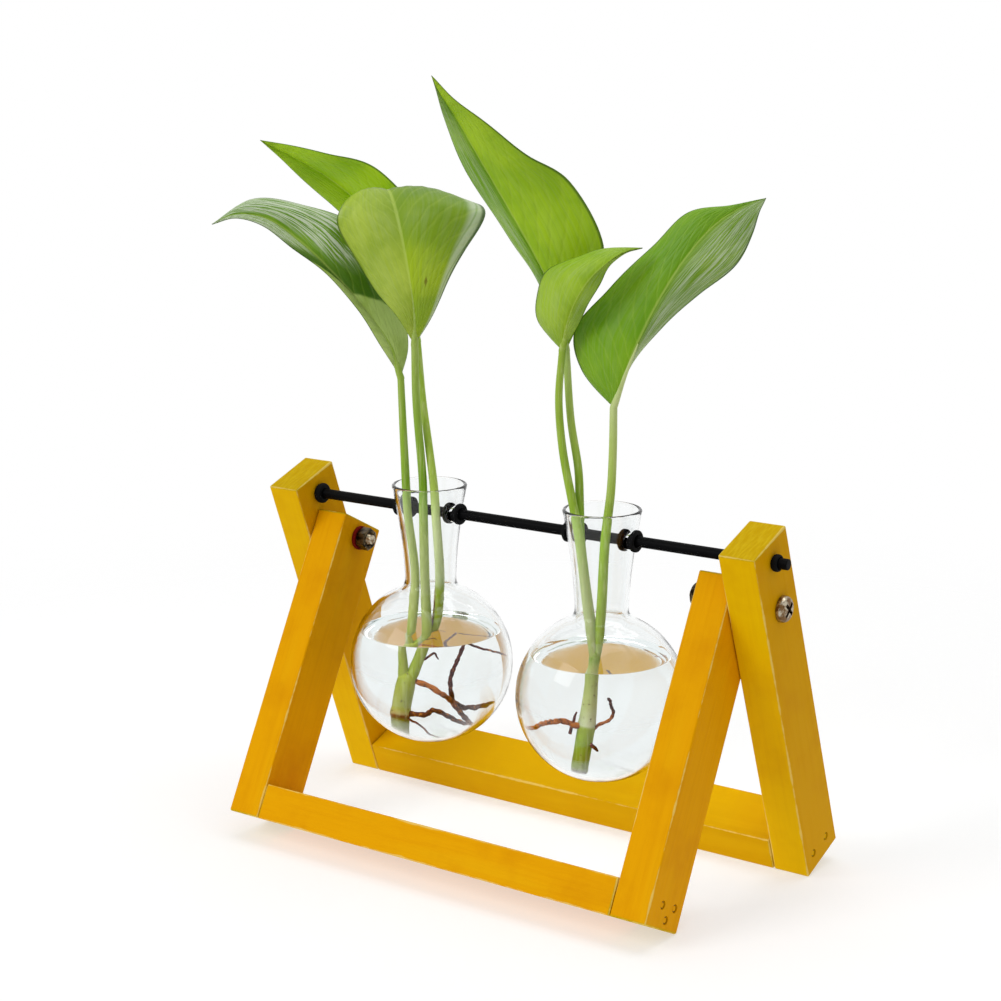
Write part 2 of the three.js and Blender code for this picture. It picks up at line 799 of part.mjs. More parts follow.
// One vase with its grommets and its cutting, hung on the rod at x
function buildVase(side, x, cutting) {
  const group = new THREE.Group();
  group.position.set(x, rodY, rodZ);
  addMesh(group, `${side}_glass_vase`, glassVase(), materials.glass);
  addMesh(group, `${side}_vase_right_grommet`, grommet(), materials.rubber);
  const opposite = addMesh(group, `${side}_vase_left_grommet`, grommet(), materials.rubber);
  opposite.rotation.z = Math.PI;
  const crown = tube(cutting.crown, crownDiameter, crownSteps);
  addMesh(group, `${side}_plant_crown`, crown, materials.crown);
  cutting.stalks.forEach((points, i) => {
    const stalk = tube(points, stalkDiameter, stalkSteps);
    addMesh(group, `${side}_plant_stalk_${i + 1}`, stalk, materials.stalk);
  });
  cutting.leaves.forEach((leaf, i) => {
    const blade = leafBlade(leafBase(cutting.stalks[i]), leaf);
    addMesh(group, `${side}_plant_leaf_${i + 1}`, blade, materials.leaf);
  });
  cutting.roots.forEach((points, i) => {
    const root = tube(points, rootDiameter, rootSteps);
    addMesh(group, `${side}_plant_root_${i + 1}`, root, materials.root);
  });
  return group;
}

// Assembly

const stand = new THREE.Group();

const outerFrame = buildFrame({
  legName: 'outer',
  railName: 'rear',
  legLength: outerLegLength,
  pivotBelowTop: pivotBelowOuterTop,
  rodAbovePivot,
  legInside: outerLegInside,
  legOutside: outerLegOutside,
  nailPlaces: rearNailPlaces,
  paint: materials.outerPaint,
});
outerFrame.position.set(0, pivotY, pivotZ);
outerFrame.rotation.x = outerLean;
stand.add(outerFrame);

const innerFrame = buildFrame({
  legName: 'inner',
  railName: 'front',
  legLength: innerLegLength,
  pivotBelowTop: pivotBelowInnerTop,
  legInside: innerLegInside,
  legOutside: innerLegOutside,
  nailPlaces: frontNailPlaces,
  paint: materials.innerPaint,
});
innerFrame.position.set(0, pivotY, pivotZ);
innerFrame.rotation.x = -innerLean;
stand.add(innerFrame);

// Rod and its rings, in the holes near the tops of the outer legs
const rodEnd = outerLegOutside + rodOverhang;
const rodOutline = [
  [0, -rodEnd],
  [rodDiameter / 2 - rodEndEase, -rodEnd],
  [rodDiameter / 2, rodEndEase - rodEnd],
  [rodDiameter / 2, rodEnd - rodEndEase],
  [rodDiameter / 2 - rodEndEase, rodEnd],
  [0, rodEnd],
];
const rod = addMesh(outerFrame, 'hanging_rod', closed(revolveX(rodOutline)), materials.rodPaint);
rod.position.z = rodAbovePivot;
for (const [side, sideName] of [[-1, 'left'], [1, 'right']]) {
  const insideX = side * (outerLegInside - gap - innerRingWidth / 2);
  const outsideX = side * (outerLegOutside + gap + outerRingWidth / 2);
  const innerRing = rodRing(insideX, innerRingDiameter, innerRingWidth);
  const outerRing = rodRing(outsideX, outerRingDiameter, outerRingWidth);
  addMesh(outerFrame, `${sideName}_inner_rod_ring`, innerRing, materials.rubber)
    .position.z = rodAbovePivot;
  addMesh(outerFrame, `${sideName}_outer_rod_ring`, outerRing, materials.rubber)
    .position.z = rodAbovePivot;

  // Pivot bolt from outside, through both legs, with its washer and nut on the inner leg
  const pivot = new THREE.Group();
  pivot.rotation.z = side > 0 ? 0 : Math.PI;
  outerFrame.add(pivot);
  const grip = outerLegOutside - innerLegInside + 3 * gap + washerThickness + nutHeight;
  const bolt = pivotBolt(grip + gap + boltTail);
  addMesh(pivot, `${sideName}_pivot_bolt`, bolt, materials.plated)
    .position.x = outerLegOutside + gap;
  addMesh(pivot, `${sideName}_pivot_washer`, washer(), materials.fibre)
    .position.x = innerLegInside - gap - washerThickness;
  addMesh(pivot, `${sideName}_pivot_nut`, hexNut(), materials.plated)
    .position.x = innerLegInside - 2 * gap - washerThickness - nutHeight;
}

stand.add(buildVase('left', -vaseX, {
  crown: leftCrown,
  stalks: leftStalks,
  leaves: leftLeaves,
  roots: leftRoots,
}));
stand.add(buildVase('right', vaseX, {
  crown: rightCrown,
  stalks: rightStalks,
  leaves: rightLeaves,
  roots: rightRoots,
}));

export default stand;
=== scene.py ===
import math
import random
from collections import namedtuple
from contextlib import contextmanager

import bmesh
import bpy
import numpy as np
from mathutils import Matrix, Vector


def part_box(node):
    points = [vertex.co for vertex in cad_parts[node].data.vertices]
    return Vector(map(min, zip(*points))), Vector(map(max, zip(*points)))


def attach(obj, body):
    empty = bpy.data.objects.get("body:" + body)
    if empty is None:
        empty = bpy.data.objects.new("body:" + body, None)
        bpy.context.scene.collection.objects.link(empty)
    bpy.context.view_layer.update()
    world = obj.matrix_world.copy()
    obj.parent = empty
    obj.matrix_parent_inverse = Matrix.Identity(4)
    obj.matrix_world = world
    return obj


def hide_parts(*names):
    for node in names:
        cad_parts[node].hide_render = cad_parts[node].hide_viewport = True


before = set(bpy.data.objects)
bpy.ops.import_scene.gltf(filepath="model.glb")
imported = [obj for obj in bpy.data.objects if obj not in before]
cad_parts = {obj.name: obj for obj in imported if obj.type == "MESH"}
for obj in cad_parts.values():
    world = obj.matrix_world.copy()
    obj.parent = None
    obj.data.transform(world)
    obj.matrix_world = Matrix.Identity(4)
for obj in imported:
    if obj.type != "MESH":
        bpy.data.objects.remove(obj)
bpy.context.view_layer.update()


# Studio
# A plain pale floor that fades into white surroundings, soft light from the left and above, and
# the camera a little to the right of the vase and above it.

class Value:
    """A number or colour that changes over a surface. Arithmetic on numbers adds Math nodes."""

    def __init__(self, nodes, socket):
        self.nodes = nodes
        self.socket = socket

    def math(self, operation, *values):
        return self.nodes.add("ShaderNodeMath", {"operation": operation}, dict(enumerate(values)))

    def __add__(self, other):
        return self.math("ADD", self, other)

    def __sub__(self, other):
        return self.math("SUBTRACT", self, other)

    def __rsub__(self, other):
        return self.math("SUBTRACT", other, self)

    def __mul__(self, other):
        return self.math("MULTIPLY", self, other)

    def __pow__(self, other):
        return self.math("POWER", self, other)

    def __abs__(self):
        return self.math("ABSOLUTE", self)

    __radd__ = __add__
    __rmul__ = __mul__

    def least(self, other):
        return self.math("MINIMUM", self, other)

    def most(self, other):
        return self.math("MAXIMUM", self, other)

    def between(self, low, high):
        """0 up to low, 1 from high, and a smooth step between them."""
        return self.nodes.add(
            "ShaderNodeMapRange", {"interpolation_type": "SMOOTHSTEP"},
            {"Value": self, "From Min": low, "From Max": high})

    def axis(self, letter):
        parts = self.nodes.add("ShaderNodeSeparateXYZ", {}, {0: self})
        return Value(self.nodes, parts.socket.node.outputs["XYZ".index(letter)])


class Nodes:
    """A node tree that is built from Python."""

    def __init__(self, tree):
        self.tree = tree

    def add(self, kind, settings=None, sockets=None, output=0):
        """A node of a type, with its settings and its sockets' values or links."""
        node = self.tree.nodes.new(kind)
        for name, setting in (settings or {}).items():
            setattr(node, name, setting)
        for name, value in (sockets or {}).items():
            if isinstance(value, Value):
                self.tree.links.new(value.socket, node.inputs[name])
            else:
                node.inputs[name].default_value = value
        return Value(self, node.outputs[output])

    def mix(self, share, first, second):
        return self.add(
            "ShaderNodeMix", {"data_type": "RGBA"}, {0: share, 6: first, 7: second}, output=2)

    def noise(self, place, scale, detail, roughness=0.5, stretch=None):
        if stretch:
            place = self.add("ShaderNodeMapping", {}, {"Vector": place, "Scale": stretch})
        return self.add("ShaderNodeTexNoise", {}, {
            "Vector": place, "Scale": scale, "Detail": detail, "Roughness": roughness})


class Finish(Nodes):
    """A material with one Principled shader, whose plain values are given by socket name."""

    def __init__(self, name, **plain):
        self.material = bpy.data.materials.new(name)
        self.material.use_nodes = True
        super().__init__(self.material.node_tree)
        self.shader = self.tree.nodes["Principled BSDF"]
        for socket, value in plain.items():
            self.shader.inputs[socket.replace("_", " ")].default_value = value
        self.place = self.add("ShaderNodeTexCoord", output=3)

    def feed(self, socket, value):
        self.tree.links.new(value.socket, self.shader.inputs[socket])

    def relief(self, height, depth):
        """Bumps the surface by height, which runs from 0 to 1, times depth in metres."""
        self.feed("Normal", self.add("ShaderNodeBump", {}, {"Height": height, "Distance": depth}))

    def let_through(self, share, tint=(1, 1, 1, 1)):
        """Lets a share of the light straight through, with a tint."""
        clear = self.add("ShaderNodeBsdfTransparent", {}, {"Color": tint})
        surface = self.add("ShaderNodeMixShader", {}, {
            0: share, 1: Value(self, self.shader.outputs[0]), 2: clear})
        self.tree.links.new(surface.socket, self.tree.nodes["Material Output"].inputs["Surface"])


def placed(name, data):
    """A new object in the scene."""
    made = bpy.data.objects.new(name, data)
    bpy.context.scene.collection.objects.link(made)
    return made


camera = placed("camera", bpy.data.cameras.new("camera"))
camera.data.lens = 73.03
camera.data.sensor_width = 36.0
camera.matrix_world = Matrix.Translation((0.53593, -0.76043, 0.37455)) @ Matrix((
    (0.81478, -0.12007, 0.5672),
    (0.57976, 0.17699, -0.7953),
    (-0.00489, 0.97686, 0.2138),
)).to_4x4()
bpy.context.scene.camera = camera
bpy.context.scene.view_settings.view_transform = "Standard"

lamps_aim = Vector((0, 0, 0.15))
for lamp_name, at, size, watts in (
    ("key_lamp", (-0.75, -1.5, 1.25), 0.9, 13.0),
    ("top_lamp", (0.1, 0.2, 1.5), 1.0, 8.0),
):
    lamp = placed(lamp_name, bpy.data.lights.new(lamp_name, "AREA"))
    lamp.data.size = size
    lamp.data.energy = watts
    lamp.visible_transmission = False
    lamp.location = at
    lamp.rotation_euler = (lamps_aim - lamp.location).to_track_quat("-Z", "Y").to_euler()

# The surroundings look white, and light the object with this share of it
ambient = 0.5
surroundings = bpy.data.worlds.new("surroundings")
surroundings.use_nodes = True
bpy.context.scene.world = surroundings
sky = Nodes(surroundings.node_tree)
rays = sky.add("ShaderNodeLightPath").socket.node.outputs
seen = Value(sky, rays["Is Camera Ray"])
for looking in ("Is Glossy Ray", "Is Transmission Ray"):
    seen = seen.most(Value(sky, rays[looking]))
brightness = ambient + seen * (1.0 - ambient)
background = sky.tree.nodes["Background"]
background.inputs["Color"].default_value = (1, 1, 1, 1)
sky.tree.links.new(brightness.socket, background.inputs["Strength"])

# Distances from the middle, in metres
floor_fade_start, floor_fade_end, floor_end = 0.3, 0.75, 2
floor_corners = [
    (x * floor_end, y * floor_end, 0) for x, y in ((-1, -1), (1, -1), (1, 1), (-1, 1))]
floor_mesh = bpy.data.meshes.new("floor")
floor_mesh.from_pydata(floor_corners, [], [(0, 1, 2, 3)])
floor = placed("floor", floor_mesh)
floor_paint = Finish(
    "floor_paint", Base_Color=(0.55, 0.55, 0.55, 1), Roughness=0.9, Specular_IOR_Level=0.0,
    Emission_Color=(1, 1, 1, 1), Emission_Strength=0.5)
from_middle = floor_paint.add(
    "ShaderNodeVectorMath", {"operation": "LENGTH"}, {0: floor_paint.place}, output=1)
floor_paint.let_through(from_middle.between(floor_fade_start, floor_fade_end))
floor_mesh.materials.append(floor_paint.material)


# Timber of the stand
# Four planed pine legs and two rails, butt-jointed and nailed at the feet, and drilled for the
# bolts and the rod. Each is brushed with a thin yellow paint, worn pale along the edges.

def piece(name, mesh, material, body, slot, *nodes):
    """Puts a finished mesh in the scene, on the body that it moves with and in place of nodes."""
    mesh.name = name
    mesh.materials.clear()
    mesh.materials.append(material)
    made = placed(name, mesh)
    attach(made, body)
    if nodes:
        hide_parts(*nodes)


def baked(mesh, kind, inputs=None, **settings):
    """Applies a modifier to a mesh and returns the plain result. Inputs are those of its node
    tree, by identifier."""
    holder = placed("holder", mesh)
    modifier = holder.modifiers.new(kind.lower(), kind)
    for name, setting in settings.items():
        setattr(modifier, name, setting)
    for identifier, value in (inputs or {}).items():
        modifier[identifier] = value
    graph = bpy.context.evaluated_depsgraph_get()
    result = bpy.data.meshes.new_from_object(holder.evaluated_get(graph))
    bpy.data.objects.remove(holder)
    return result


def combined(mesh, tool, operation="DIFFERENCE", use_self=False):
    """Cuts a second mesh out of the first, or keeps what lies in both."""
    bit = placed("tool", tool)
    result = baked(
        mesh, "BOOLEAN", object=bit, solver="EXACT", operation=operation, use_self=use_self)
    bpy.data.objects.remove(bit)
    return result


@contextmanager
def drawing_on(mesh):
    """Opens a mesh for drawing, and puts the drawing back into it at the end."""
    drawing = bmesh.new()
    drawing.from_mesh(mesh)
    yield drawing
    drawing.to_mesh(mesh)
    drawing.free()


def smoothed(mesh, sharp=None):
    """Shades a mesh smooth, apart from edges past a sharp angle in degrees."""
    mesh.polygons.foreach_set("use_smooth", [True] * len(mesh.polygons))
    if sharp:
        mesh.set_sharp_from_angle(angle=math.radians(sharp))
    return mesh


def drill_bits(bits):
    """Round bits along X, each (x, y, z, diameter, length) in mm, as one mesh."""
    mesh = bpy.data.meshes.new("drill_bits")
    with drawing_on(mesh) as drawing:
        for x, y, z, diameter, length in bits:
            bmesh.ops.create_cone(
                drawing, cap_ends=True, segments=40, radius1=diameter / 2, radius2=diameter / 2,
                depth=length,
                matrix=Matrix.Translation((x, y, z)) @ Matrix.Rotation(math.pi / 2, 4, "Y"))
    return mesh


def timber(low, high, along, holes, lean):
    """An eased bar between two corners of its frame, in mm, drilled and leaned about the pivot.
    Its attribute "timber" holds each point's place from the bar's middle, Z along the grain."""
    low, high = Vector(low), Vector(high)
    size, middle = high - low, (low + high) / 2
    mesh = bpy.data.meshes.new("timber")
    with drawing_on(mesh) as drawing:
        bmesh.ops.create_cube(
            drawing, size=1, matrix=Matrix.Translation(middle) @ Matrix.Diagonal((*size, 1)))
        bmesh.ops.bevel(
            drawing, geom=drawing.edges[:], offset=easing, segments=4, profile=0.5,
            affect="EDGES")
    mesh = smoothed(combined(mesh, drill_bits(holes)), 50)
    mesh = baked(mesh, "WEIGHTED_NORMAL", keep_sharp=True)
    grain = mesh.attributes.new("timber", "FLOAT_VECTOR", "POINT")
    for vertex, spot in zip(mesh.vertices, grain.data):
        x, y, z = (vertex.co - middle) / 1000
        spot.vector = (x, y, z) if along == "Z" else (z, y, x)
    mesh.transform(
        Matrix.Scale(0.001, 4) @ Matrix.Translation(pivot) @ Matrix.Rotation(lean, 4, "X"))
    return mesh


def colour(red, green, blue):
    """A colour as a photograph shows it, from 0 to 255 each, in Blender's linear terms."""
    def linear(level):
        level /= 255
        return level / 12.92 if level <= 0.04045 else ((level + 0.055) / 1.055) ** 2.4
    return (linear(red), linear(green), linear(blue), 1.0)


def painted_pine(name, size, fresh, deep, seed, painted_side_shade=0.0):
    """Thin yellow paint on a bar of that size in mm, Z along the grain, browner by a share on
    its two X sides as painted shade, for the lesser light that falls on them."""
    paint = Finish(name, Specular_IOR_Level=0.02)
    spot = paint.add("ShaderNodeAttribute", {"attribute_name": "timber"}, output=1)
    moved = paint.add(
        "ShaderNodeVectorMath", {"operation": "ADD"}, {0: spot, 1: (seed, seed * 2.3, seed * 0.7)})
    across, depth, along = (abs(spot.axis(letter)) for letter in "XYZ")
    half = [side / 2000 for side in size]
    to_side, to_face, to_end = half[0] - across, half[1] - depth, half[2] - along
    to_edge = to_side.least(to_face).most(to_side.most(to_face).least(to_end))

    grain = paint.noise(moved, 620, 4, 0.6, stretch=(1, 1, 0.035))
    figure = paint.noise(moved, 90, 2, stretch=(1, 1, 0.12))
    patches = paint.noise(moved, 45, 3, 0.55)
    face = paint.mix(grain.between(0.4, 0.8) * 0.3, fresh, deep)
    face = paint.mix(figure.between(0.5, 0.8) * 0.25, face, colour(236, 190, 14))
    face = paint.mix(patches.between(0.45, 0.8) * 0.45, face, deep)
    # Painted shade: both X sides turn browner by a share, for the lesser light on them.
    face = paint.mix((1 - to_side.between(0.0002, 0.0006)) * painted_side_shade, face, colour(198, 116, 0))

    rings = paint.noise(moved, 980, 3, 0.6, stretch=(1, 0.14, 1))
    end_grain = paint.mix(
        rings.between(0.35, 0.75) * 0.7, colour(196, 157, 0), colour(214, 184, 28))
    face = paint.mix(1 - to_end.between(0.0004, 0.0012), face, end_grain)

    chips = paint.noise(moved, 210, 3, 0.6)
    wear = paint.noise(moved, 38, 2)
    worn = 1 - (to_edge + (0.5 - chips) * 0.0012 + (0.42 - wear) * 0.0022).between(0.0001, 0.0005)
    paint.feed("Base Color", paint.mix(worn * 0.7, face, colour(238, 208, 112)))
    paint.feed("Roughness", 0.42 + grain * 0.2 + worn * 0.2)
    paint.relief(grain * 0.7 + patches * 0.3 - worn * 0.4, 0.00022)
    return paint.material


# Sizes in mm. The pivot is the bolts' line, and each half of the stand leans about it.
leg_thickness, leg_depth, rail_height, easing = 18, 30, 17, 0.9
pivot = (0, 9.6527, 137.5676)
bolt_hole, rod_hole, nail_hole, nail_head_hole, bore_length = 6.6, 6.0, 2.4, 4.0, 80
rod_above_pivot = 24
seam = 0.3
nail_length, nail_sink, nail_tip_room = 34, 0.7, 0.6
head_hole_length, head_hole_past_head = 6.4, 2
sides = ((-1, "left"), (1, "right"))

# A half's inside is the legs' inner face. Its nails lie at shares of the rail's height and of
# the leg's depth.
Half = namedtuple("Half", "leg rail inside foot top lean nail_places")
outer = Half("outer", "rear", 119.5, -141, 34, math.radians(20.0994), [(0.5, 0.26), (0.5, 0.69)])
inner = Half("inner", "front", 101.2, -147.5, 8.5, -math.radians(27.7006),
             [(0.62, 0.37), (0.62, 0.75), (0.27, 0.56)])


def nail_spots(half):
    """Where each nail's head lies, (x, y, z) in the frame, on the right-hand leg."""
    return [
        (half.inside + leg_thickness - nail_sink, share * leg_depth - leg_depth / 2,
         half.foot + height * rail_height)
        for height, share in half.nail_places
    ]


# Leg colours fresh and deep, rail colour, and the share of painted shade on the legs' sides
for half, fresh, deep, rail_fresh, painted_side_shade in (
    (outer, colour(230, 183, 2), colour(212, 156, 1), colour(216, 164, 1), 0.42),
    (inner, colour(232, 164, 1), colour(210, 134, 1), colour(232, 164, 1), 0.08),
):
    leg, rail, inside, foot, top, lean, _ = half
    body, slot = f"{leg}_frame", f"{leg}_wood"
    outside = inside + leg_thickness
    nails = nail_spots(half)
    shanks = [
        (x - nail_length / 2, y, z, nail_hole, nail_length + nail_tip_room) for x, y, z in nails]
    sinks = [
        (x + head_hole_past_head, y, z, nail_head_hole, head_hole_length) for x, y, z in nails]
    bores = [(outside, 0, 0, bolt_hole, bore_length)]
    if half is outer:
        bores.append((outside, 0, rod_above_pivot, rod_hole, bore_length))
    leg_size = (leg_thickness, leg_depth, top - foot)
    rail_size = (rail_height, leg_depth, 2 * (inside - seam))
    leg_paint = painted_pine(f"{leg}_leg_paint", leg_size, fresh, deep, 3.1 + inside / 50, painted_side_shade)
    rail_paint = painted_pine(f"{rail}_rail_paint", rail_size, rail_fresh, deep, 1.7 + inside / 60)
    for side, side_name in sides:
        low = (min(side * inside, side * outside), -leg_depth / 2, foot)
        high = (max(side * inside, side * outside), leg_depth / 2, top)
        holes = [(side * x, *rest) for x, *rest in bores + shanks + sinks]
        piece(f"{side_name}_{leg}_leg_timber", timber(low, high, "Z", holes, lean), leg_paint,
              body, slot, f"{side_name}_{leg}_leg")
    low = (seam - inside, -leg_depth / 2, foot)
    high = (inside - seam, leg_depth / 2, foot + rail_height)
    holes = [(side * x, *rest) for x, *rest in shanks for side, _ in sides]
    piece(f"{rail}_rail_timber", timber(low, high, "X", holes, lean), rail_paint, body, slot,
          f"{rail}_rail")


# Nails
# Round wire nails with flat heads, browned with age. They are driven through the legs into the
# ends of the rails, and their heads are sunk a little below the paint.

def tree_with(name, inputs, output):
    """A Geometry Nodes tree with named inputs, each a name and its socket type, and one output."""
    tree = bpy.data.node_groups.new(name, "GeometryNodeTree")
    for label, kind in inputs:
        tree.interface.new_socket(label, in_out="INPUT", socket_type=f"NodeSocket{kind}")
    tree.interface.new_socket(output, in_out="OUTPUT", socket_type="NodeSocketGeometry")
    tree.nodes.new("NodeGroupInput")
    tree.nodes.new("NodeGroupOutput")
    return Nodes(tree)


def given(nodes, label):
    """What comes in at a tree's named input."""
    return Value(nodes, nodes.tree.nodes["Group Input"].outputs[label])


def last_steps(nodes, geometry):
    """Ends a tree: instances made real, and the material set."""
    real = nodes.add("GeometryNodeRealizeInstances", {}, {0: geometry})
    painted = nodes.add(
        "GeometryNodeSetMaterial", {}, {0: real, "Material": given(nodes, "Material")})
    nodes.tree.links.new(painted.socket, nodes.tree.nodes["Group Output"].inputs[0])


def made_by(nodes, source, **sizes):
    """Runs a tree on a source mesh, with its inputs set by name."""
    labels = {
        item.name.lower().replace(" ", "_"): item.identifier
        for item in nodes.tree.interface.items_tree if item.in_out == "INPUT"}
    inputs = {labels[name]: size for name, size in sizes.items()}
    return baked(source, "NODES", inputs, node_group=nodes.tree)


def leaned(lean):
    """A half's own axes: its origin on the bolts' line, turned by the lean."""
    return Matrix.Translation(Vector(pivot) / 1000) @ Matrix.Rotation(lean, 4, "X")


nailing = tree_with("nailing", [
    ("Places", "Geometry"), ("Head Radius", "Float"), ("Head Height", "Float"),
    ("Shank Radius", "Float"), ("Length", "Float"), ("Material", "Material"),
], "Nails")
head = nailing.add("GeometryNodeMeshCylinder", {}, {
    "Vertices": 28, "Radius": given(nailing, "Head Radius"),
    "Depth": given(nailing, "Head Height")})
dished = nailing.add("GeometryNodeMeshCone", {}, {
    "Vertices": 28,
    "Radius Top": given(nailing, "Head Radius") * 0.8,
    "Radius Bottom": given(nailing, "Head Radius"),
    "Depth": given(nailing, "Head Height") * 0.25,
})
shank = nailing.add("GeometryNodeMeshCylinder", {}, {
    "Vertices": 16, "Radius": given(nailing, "Shank Radius"), "Depth": given(nailing, "Length")})


def lifted(geometry, height):
    """A part of the nail, moved along Z."""
    offset = nailing.add("ShaderNodeCombineXYZ", {}, {"Z": height})
    return nailing.add("GeometryNodeTransform", {}, {"Geometry": geometry, "Translation": offset})


whole_nail = nailing.add("GeometryNodeJoinGeometry")
for part in (
    lifted(head, given(nailing, "Head Height") * -0.5),
    lifted(dished, 0.0),
    lifted(shank, given(nailing, "Length") * -0.5 - given(nailing, "Head Height")),
):
    nailing.tree.links.new(part.socket, whole_nail.socket.node.inputs[0])
to_side = nailing.add(
    "GeometryNodeInputNamedAttribute", {"data_type": "FLOAT"}, {"Name": "side"})
turn = nailing.add("ShaderNodeCombineXYZ", {}, {"Y": to_side * (math.pi / 2)})
last_steps(nailing, nailing.add("GeometryNodeInstanceOnPoints", {}, {
    "Points": given(nailing, "Places"), "Instance": whole_nail, "Rotation": turn}))

nail_paint = Finish("browned_steel", Metallic=0.6)
rust = nail_paint.noise(nail_paint.place, 900, 4, 0.6)
nail_paint.feed("Base Color", nail_paint.mix(
    rust.between(0.35, 0.65), colour(70, 34, 14), colour(122, 74, 40)))
nail_paint.feed("Roughness", 0.45 + rust * 0.35)
nail_paint.relief(rust, 0.0001)

for half in (outer, inner):
    spots = nail_spots(half)
    points = bpy.data.meshes.new("nail_places")
    points.from_pydata(
        [(side * x / 1000, y / 1000, z / 1000) for side, _ in sides for x, y, z in spots], [], [])
    to_sides = points.attributes.new("side", "FLOAT", "POINT")
    to_sides.data.foreach_set("value", [side for side, _ in sides for _ in spots])
    nails = made_by(
        nailing, points, head_radius=0.0017, head_height=0.0009, shank_radius=0.0009,
        length=0.033, material=nail_paint.material)
    nails.transform(leaned(half.lean))
    piece(f"{half.rail}_nails", nails, nail_paint.material, f"{half.leg}_frame", "nail_steel", *(
        f"{side_name}_{half.rail}_nail_{i + 1}"
        for _, side_name in sides for i in range(len(spots))))


# Pivot bolts, washers and nuts
# A plated pan-head bolt with a cross recess passes through each pair of legs from outside. A dark
# red fibre washer and a plated hexagon nut hold it on the inner leg, and the frames fold on it.

# A flat sheet is wrapped round Z, with each of its rows at one point of the profile
turning = tree_with("turning", [
    ("Profile", "Geometry"), ("Facets", "Int"), ("Material", "Material"),
], "Turned")
rows = turning.add(
    "GeometryNodeAttributeDomainSize", {"component": "MESH"}, {0: given(turning, "Profile")})
sheet = turning.add("GeometryNodeMeshGrid", {}, {
    "Size X": 1.0, "Size Y": 1.0,
    "Vertices X": given(turning, "Facets") + 1, "Vertices Y": rows})
spot = turning.add("GeometryNodeInputPosition")
angle = (spot.axis("X") + 0.5) * (2 * math.pi)
row = turning.add(
    "ShaderNodeMath", {"operation": "ROUND"}, {0: (spot.axis("Y") + 0.5) * (rows - 1)})
on_profile = turning.add(
    "GeometryNodeSampleIndex",
    {"data_type": "FLOAT_VECTOR", "domain": "POINT"},
    {0: given(turning, "Profile"), "Value": turning.add("GeometryNodeInputPosition"), "Index": row})
radius, height = on_profile.axis("X"), on_profile.axis("Z")
turned_spot = turning.add("ShaderNodeCombineXYZ", {}, {
    "X": radius * angle.math("COSINE", angle),
    "Y": radius * angle.math("SINE", angle),
    "Z": height,
})
swept = turning.add("GeometryNodeSetPosition", {}, {"Geometry": sheet, "Position": turned_spot})
last_steps(turning, turning.add(
    "GeometryNodeMergeByDistance", {}, {"Geometry": swept, "Distance": 1e-7}))


def turned(profile, material, sharp=35, facets=48):
    """A solid turned about Z from (radius, height) points in mm, with its faces outwards."""
    line = bpy.data.meshes.new("profile")
    line.from_pydata([(r / 1000, 0, z / 1000) for r, z in profile], [], [])
    mesh = made_by(turning, line, facets=facets, material=material)
    with drawing_on(mesh) as drawing:
        bmesh.ops.dissolve_degenerate(drawing, dist=1e-7, edges=drawing.edges[:])
        if drawing.calc_volume(signed=True) < 0:
            bmesh.ops.reverse_faces(drawing, faces=drawing.faces[:])
    return smoothed(mesh, sharp)


def curve(start, corner, end, steps):
    """Points of the curve that leaves start towards the corner and turns there towards end."""
    shares = [i / steps for i in range(steps + 1)]
    return [tuple(start * (1 - share) ** 2 + corner * 2 * share * (1 - share) + end * share ** 2)
            for share in shares]


def rounded(corners, reach):
    """Rounds the inner corners of a list of (x, y) points by curves that start reach away."""
    line = [corners[0]]
    for before, corner, after in zip(corners, corners[1:-1], corners[2:]):
        corner = Vector(corner)
        way_in, way_out = Vector(before) - corner, Vector(after) - corner
        cut = min(reach, way_in.length * 0.45, way_out.length * 0.45)
        start, end = corner + way_in.normalized() * cut, corner + way_out.normalized() * cut
        line += curve(start, corner, end, 5)
    return line + [corners[-1]]


def plated_steel(name, bright, dull, speck_colour, speck_share):
    """Plated steel, clouded from a bright to a dull colour and darkened by a share in specks."""
    finish = Finish(name, Metallic=1.0)
    cloud = finish.noise(finish.place, 330, 3, 0.6)
    scuffs = finish.noise(finish.place, 1400, 3, 0.65)
    tint = finish.mix(cloud.between(0.4, 0.6), bright, dull)
    finish.feed("Base Color", finish.mix(scuffs.between(0.5, 0.7) * speck_share, tint, speck_colour))
    finish.feed("Roughness", 0.16 + cloud * 0.15 + scuffs * 0.15)
    finish.relief(scuffs, 0.00004)
    return finish.material


bolt_plate = plated_steel(
    "bolt_plate", colour(186, 176, 154), colour(112, 84, 52), colour(58, 38, 26), 0.75)
# Painted shade: the nut is plated like the bolt, but painted nearly black for the shade on it.
nut_plate = plated_steel(
    "nut_plate", colour(92, 78, 54), colour(26, 20, 12), colour(5, 4, 3), 0.95)

red_fibre = Finish("red_fibre", Roughness=0.75, Specular_IOR_Level=0.1)
fibres = red_fibre.noise(red_fibre.place, 1400, 4, 0.7)
red_fibre.feed("Base Color", red_fibre.mix(fibres, colour(88, 8, 5), colour(138, 22, 12)))
red_fibre.relief(fibres, 0.0001)

# Sizes in mm
outer_outside = outer.inside + leg_thickness
bolt_radius, bolt_head_radius, bolt_head_height, bolt_past_nut, bolt_tip = 3, 6, 3.8, 1.6, 0.7
washer_bore, washer_radius, washer_thickness = 3.3, 6, 1.6
nut_bore, nut_mouth, nut_face, nut_height, nut_across, nut_chamfer = 3.1, 0.6, 4.9, 5, 10, 0.65
washer_at = inner.inside - seam - washer_thickness
nut_at = washer_at - seam - nut_height
bolt_length = outer_outside + seam - nut_at + bolt_past_nut
plain_shank, thread_pitch, thread_depth = 16, 1.0, 0.42

